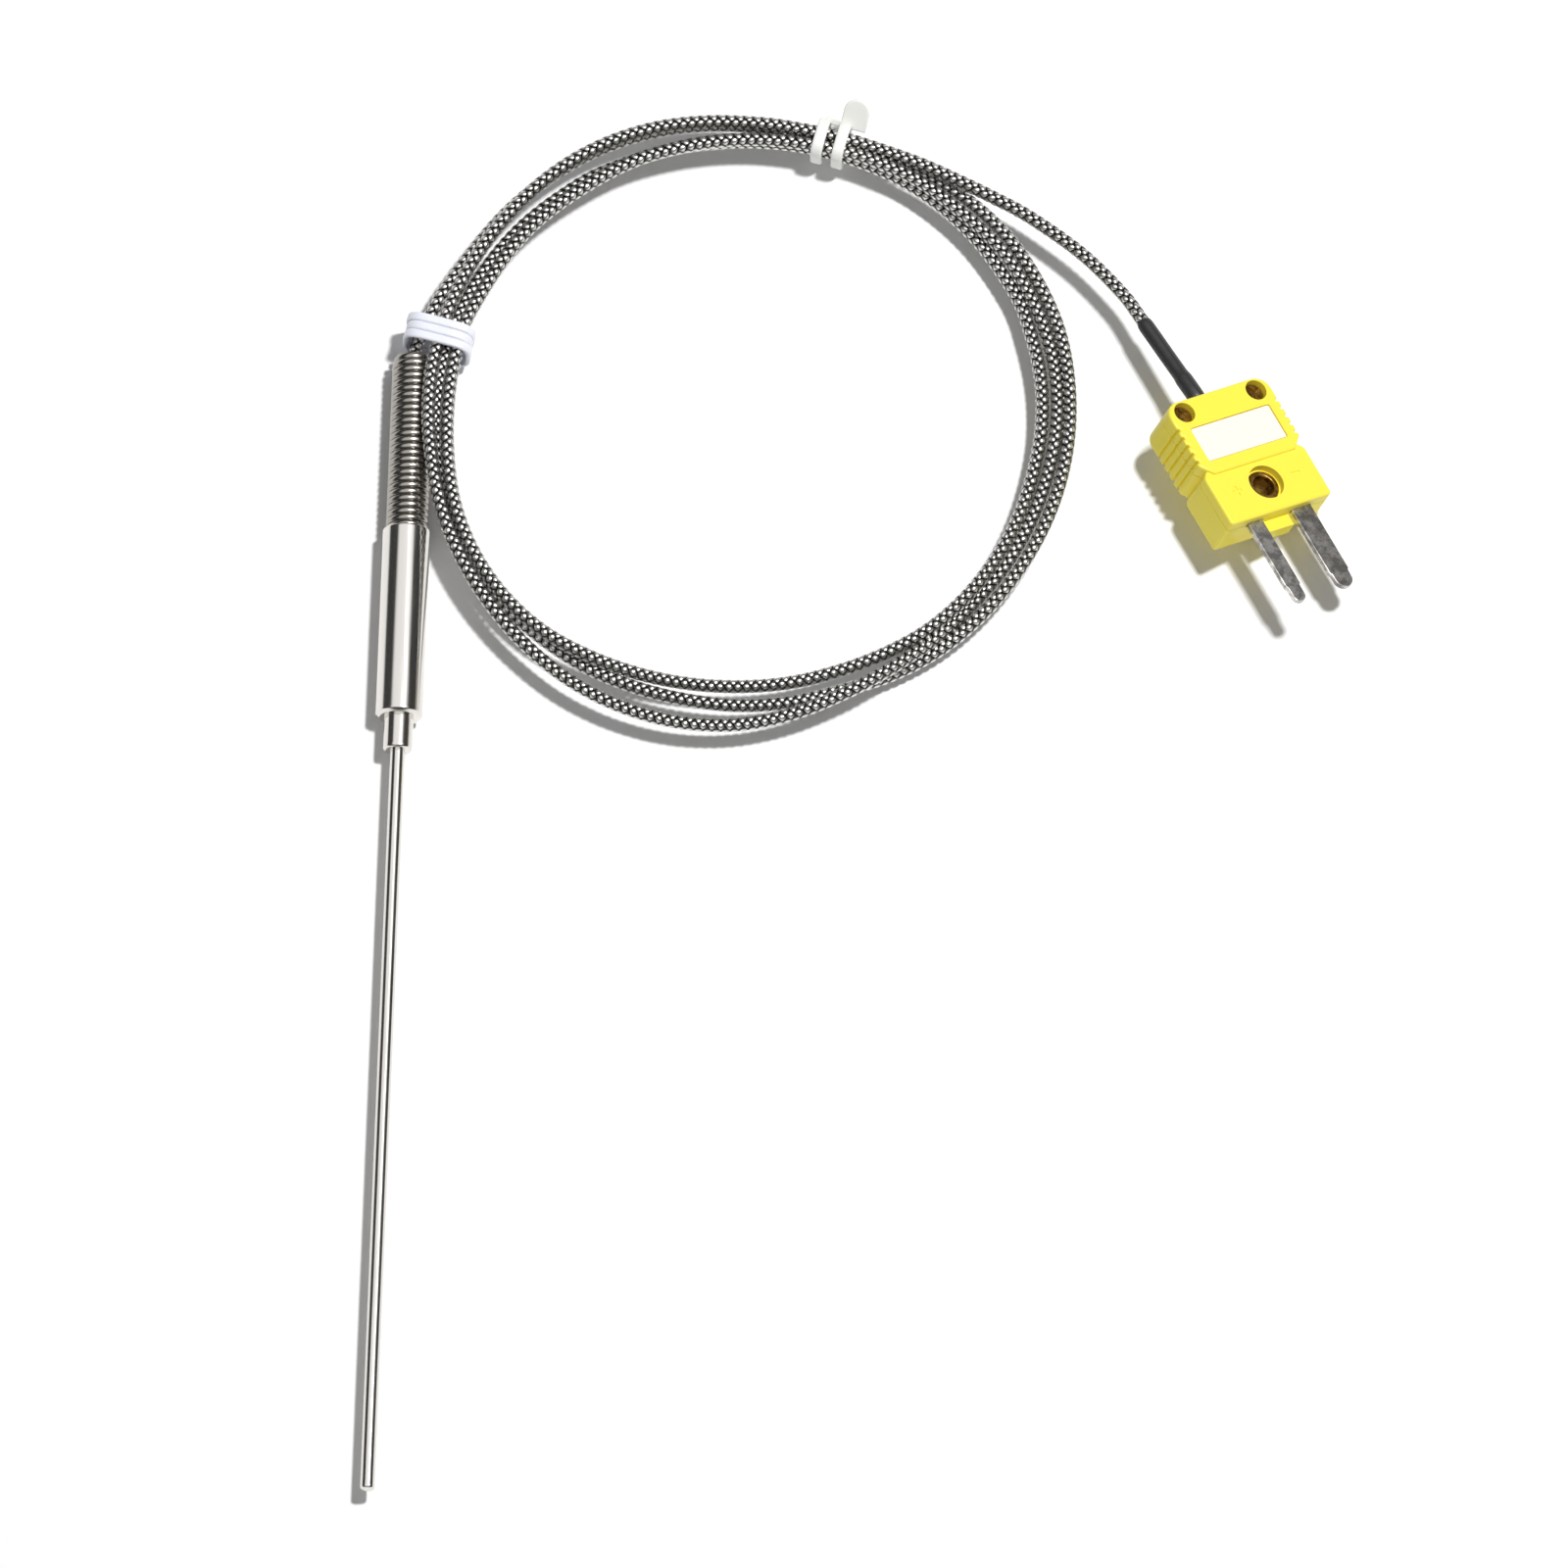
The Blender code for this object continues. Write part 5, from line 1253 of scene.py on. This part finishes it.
def shared_cuts():
    """Slots for the pins and the hole for the cable, in both halves."""
    cuts = [drill(CABLE_HOLE, -HALF_LENGTH - CLEAR, CABLE_HOLE_END, CABLE_ENTRY_Y / MM, SPLIT, "X")]
    heights = (SPLIT - SLOT_HALF_HEIGHT, SPLIT + SLOT_HALF_HEIGHT)
    for _, y, half in PINS:
        reach = half + PIN_SLACK
        cuts.append(block(SLOT_FROM, HALF_LENGTH + CLEAR, y - reach, y + reach, *heights))
    return cuts


cover_low = SPLIT + SPLIT_GAP
cover_front_top = TOP - FRONT_STEP
cover_edges = (SPLIT_EDGE, SOFT_EDGE, PLUG_HOLD)
cover_rear = moulded("rear", rear_outline(), cover_low, TOP, *cover_edges)
cover_front = moulded("front", front_outline(), cover_low, cover_front_top, *cover_edges)
cover_cuts = [block(*LABEL, TOP - LABEL_DEPTH, TOP + CLEAR, 0.4)]
for side in (-1, 1):
    well = (TOP - SCREW_WELL_DEPTH, TOP + CLEAR)
    cover_cuts.append(drill(SCREW_WELL, *well, SCREW_X, side * SCREW_Y))
cover_cuts.append(drill(EYELET_WELL, SPLIT + 0.55, TOP + CLEAR, EYELET_X, 0.0))
cover_cuts.append(drill(EYELET_HOLE, SPLIT - CLEAR, TOP, EYELET_X, 0.0))
cover_cuts += signs(cover_front_top - SIGN_DEPTH) + shared_cuts()
cover_mesh = carve("cover", cover_rear, [cover_front], cover_cuts)
plug_piece("plug_cover_moulded", cover_mesh, plastic_finish, "yellow_plastic", "plug_cover")

base_high = SPLIT - SPLIT_GAP
base_edges = (SOFT_EDGE, SPLIT_EDGE, PLUG_HOLD)
base_rear = moulded("rear", rear_outline(), -TOP, base_high, *base_edges)
base_front = moulded("front", front_outline(), -TOP, base_high, *base_edges)
tongue = moulded("tongue", corners_of(*TONGUE), -1.5, 0.8, 0.1, 0.1, 0.03)
base_cuts = [drill(EYELET_WELL, -TOP - CLEAR, -TOP + 0.9, EYELET_X, 0.0)]
base_cuts.append(drill(EYELET_HOLE, -TOP, TOP, EYELET_X, 0.0))
base_mesh = carve("base", base_rear, [base_front, tongue], base_cuts + shared_cuts())
plug_piece("plug_base_moulded", base_mesh, plastic_finish, "yellow_plastic", "plug_base")

label_outline = soften(inset(corners_of(*LABEL), LABEL_MARGIN), LABEL_ROUND)
label_mesh = moulded("label", label_outline, *LABEL_HEIGHTS, 0.02, 0.05, 0.02)
plug_piece("writing_panel", label_mesh, label_finish, "label", "label_panel")
print("plug halves and panel")

# %% [markdown]
# ## Metal on the plug
# The pins are the thermocouple's own two alloys, rolled flat and left bare, so they are greyer and
# blotchier than plated ones. The screws and the eyelet are brass that has dulled in its recess.

# %% Metal finishes
def blotched(name, dark, light, roughness):
    """Bare rolled metal, with patches that differ in colour and polish."""
    made, tree, shader = finish(name, Metallic=1.0)
    patches = noise(tree, 700.0, 5.0, Roughness=0.65)
    color = ramp(tree, patches, [(0.42, hex_color(dark)), (0.62, hex_color(light))])
    tree.links.new(color, shader.inputs["Base Color"])
    spread = {"Value": patches, "To Min": roughness + 0.12, "To Max": roughness - 0.1}
    polish = node(tree, "ShaderNodeMapRange", spread)
    tree.links.new(polish.outputs[0], shader.inputs["Roughness"])
    roughen(tree, shader, patches, 0.03 * MM, 0.5)
    return made


alloy_finish = {
    "positive": blotched("rolled nickel chromium", "8E8B88", "E4E1DD", 0.38),
    "negative": blotched("rolled nickel aluminium", "84817E", "D8D4D0", 0.38),
}
brass_finish = blotched("dulled brass", "7A5A22", "C9A35A", 0.38)
print("metal finishes")

# %% Pins, screws and eyelet
PIN_TIP = HALF_LENGTH + 13.2
PIN_ROOT = -2.0
PIN_HALF_THICKNESS = 0.4
PIN_STEP = 0.22
PIN_NOSE_FROM = PIN_TIP - 2.6
NOSE_STEPS = 8
SCREW_SLOT = (1.9, 0.42)
SCREW_SLOT_TURN = 0.35
# Height above its seat and radius of the head of a screw
SCREW_HEAD = ((-4.6, 0.8), (0, 0.8), (0, 1.45), (0.6, 1.45), (0.9, 1.1))

for label, y, half in PINS:
    nose = half - PIN_STEP
    side = [(PIN_ROOT, half), (PIN_NOSE_FROM, half), (PIN_NOSE_FROM + PIN_STEP, nose)]
    for k in range(1, NOSE_STEPS + 1):
        turn = math.pi / 2 * (1 - k / NOSE_STEPS)
        side.append((PIN_TIP - nose + nose * math.cos(turn), nose * math.sin(turn)))
    outline = flat([(x, -v) for x, v in side] + [(x, v) for x, v in reversed(side[:-1])])
    heights = (SPLIT - PIN_HALF_THICKNESS, SPLIT + PIN_HALF_THICKNESS)
    blade = moulded("blade", outline, *heights, 0.08, 0.08, 0.03)
    blade.transform(Matrix.Translation((0, y, 0)))
    plug_piece(f"blade_{label}", blade, alloy_finish[label], f"{label}_alloy", f"pin_{label}")

for side, name in ((-1, "left"), (1, "right")):
    bottom = TOP - 1.6
    profile = hold(soften(flat(SCREW_HEAD), 0.15, 4, closed=False), PLUG_HOLD)
    head = turned("screw", [(bottom + z, r) for z, r in profile], "Z", 40)
    slots = [Matrix.Rotation(SCREW_SLOT_TURN, 2) @ p for p in cross_outline(*SCREW_SLOT)]
    cross = skin("slots", [[(*p, z) for p in slots] for z in (bottom + 0.45, TOP)])
    screw = carve("screw", head, removed=[cross])
    screw.transform(Matrix.Translation((SCREW_X, side * SCREW_Y, 0)))
    plug_piece(f"screw_{name}", screw, brass_finish, "screw_steel", f"cover_screw_{name}")

high = SPLIT + 0.6
low = -TOP + 0.85
profile = [(high + 0.35, 1.6), (high + 0.35, 2.2), (high, 2.4), (high, 1.9), (low, 1.9), (low, 2.4)]
profile += [(low - 0.35, 2.2), (low - 0.35, 1.6), (low, 1.45), (high, 1.45)]
ring = turned("eyelet", soften(flat(profile), 0.12, 3), "Z", 48, closed=True)
ring.transform(Matrix.Translation((EYELET_X, 0, 0)))
plug_piece("eyelet_brass", ring, brass_finish, "brass", "eyelet")
print("pins, screws and eyelet")

# %% Pieces inside the plug and on the cable
inside = ("terminal_screw_positive", "terminal_screw_negative", "tail_positive", "tail_negative")
on_the_cable = [braid_left, core, shrink, tie_top, tie_side, *plug_parts]
on_the_cable += [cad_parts[name] for name in inside]
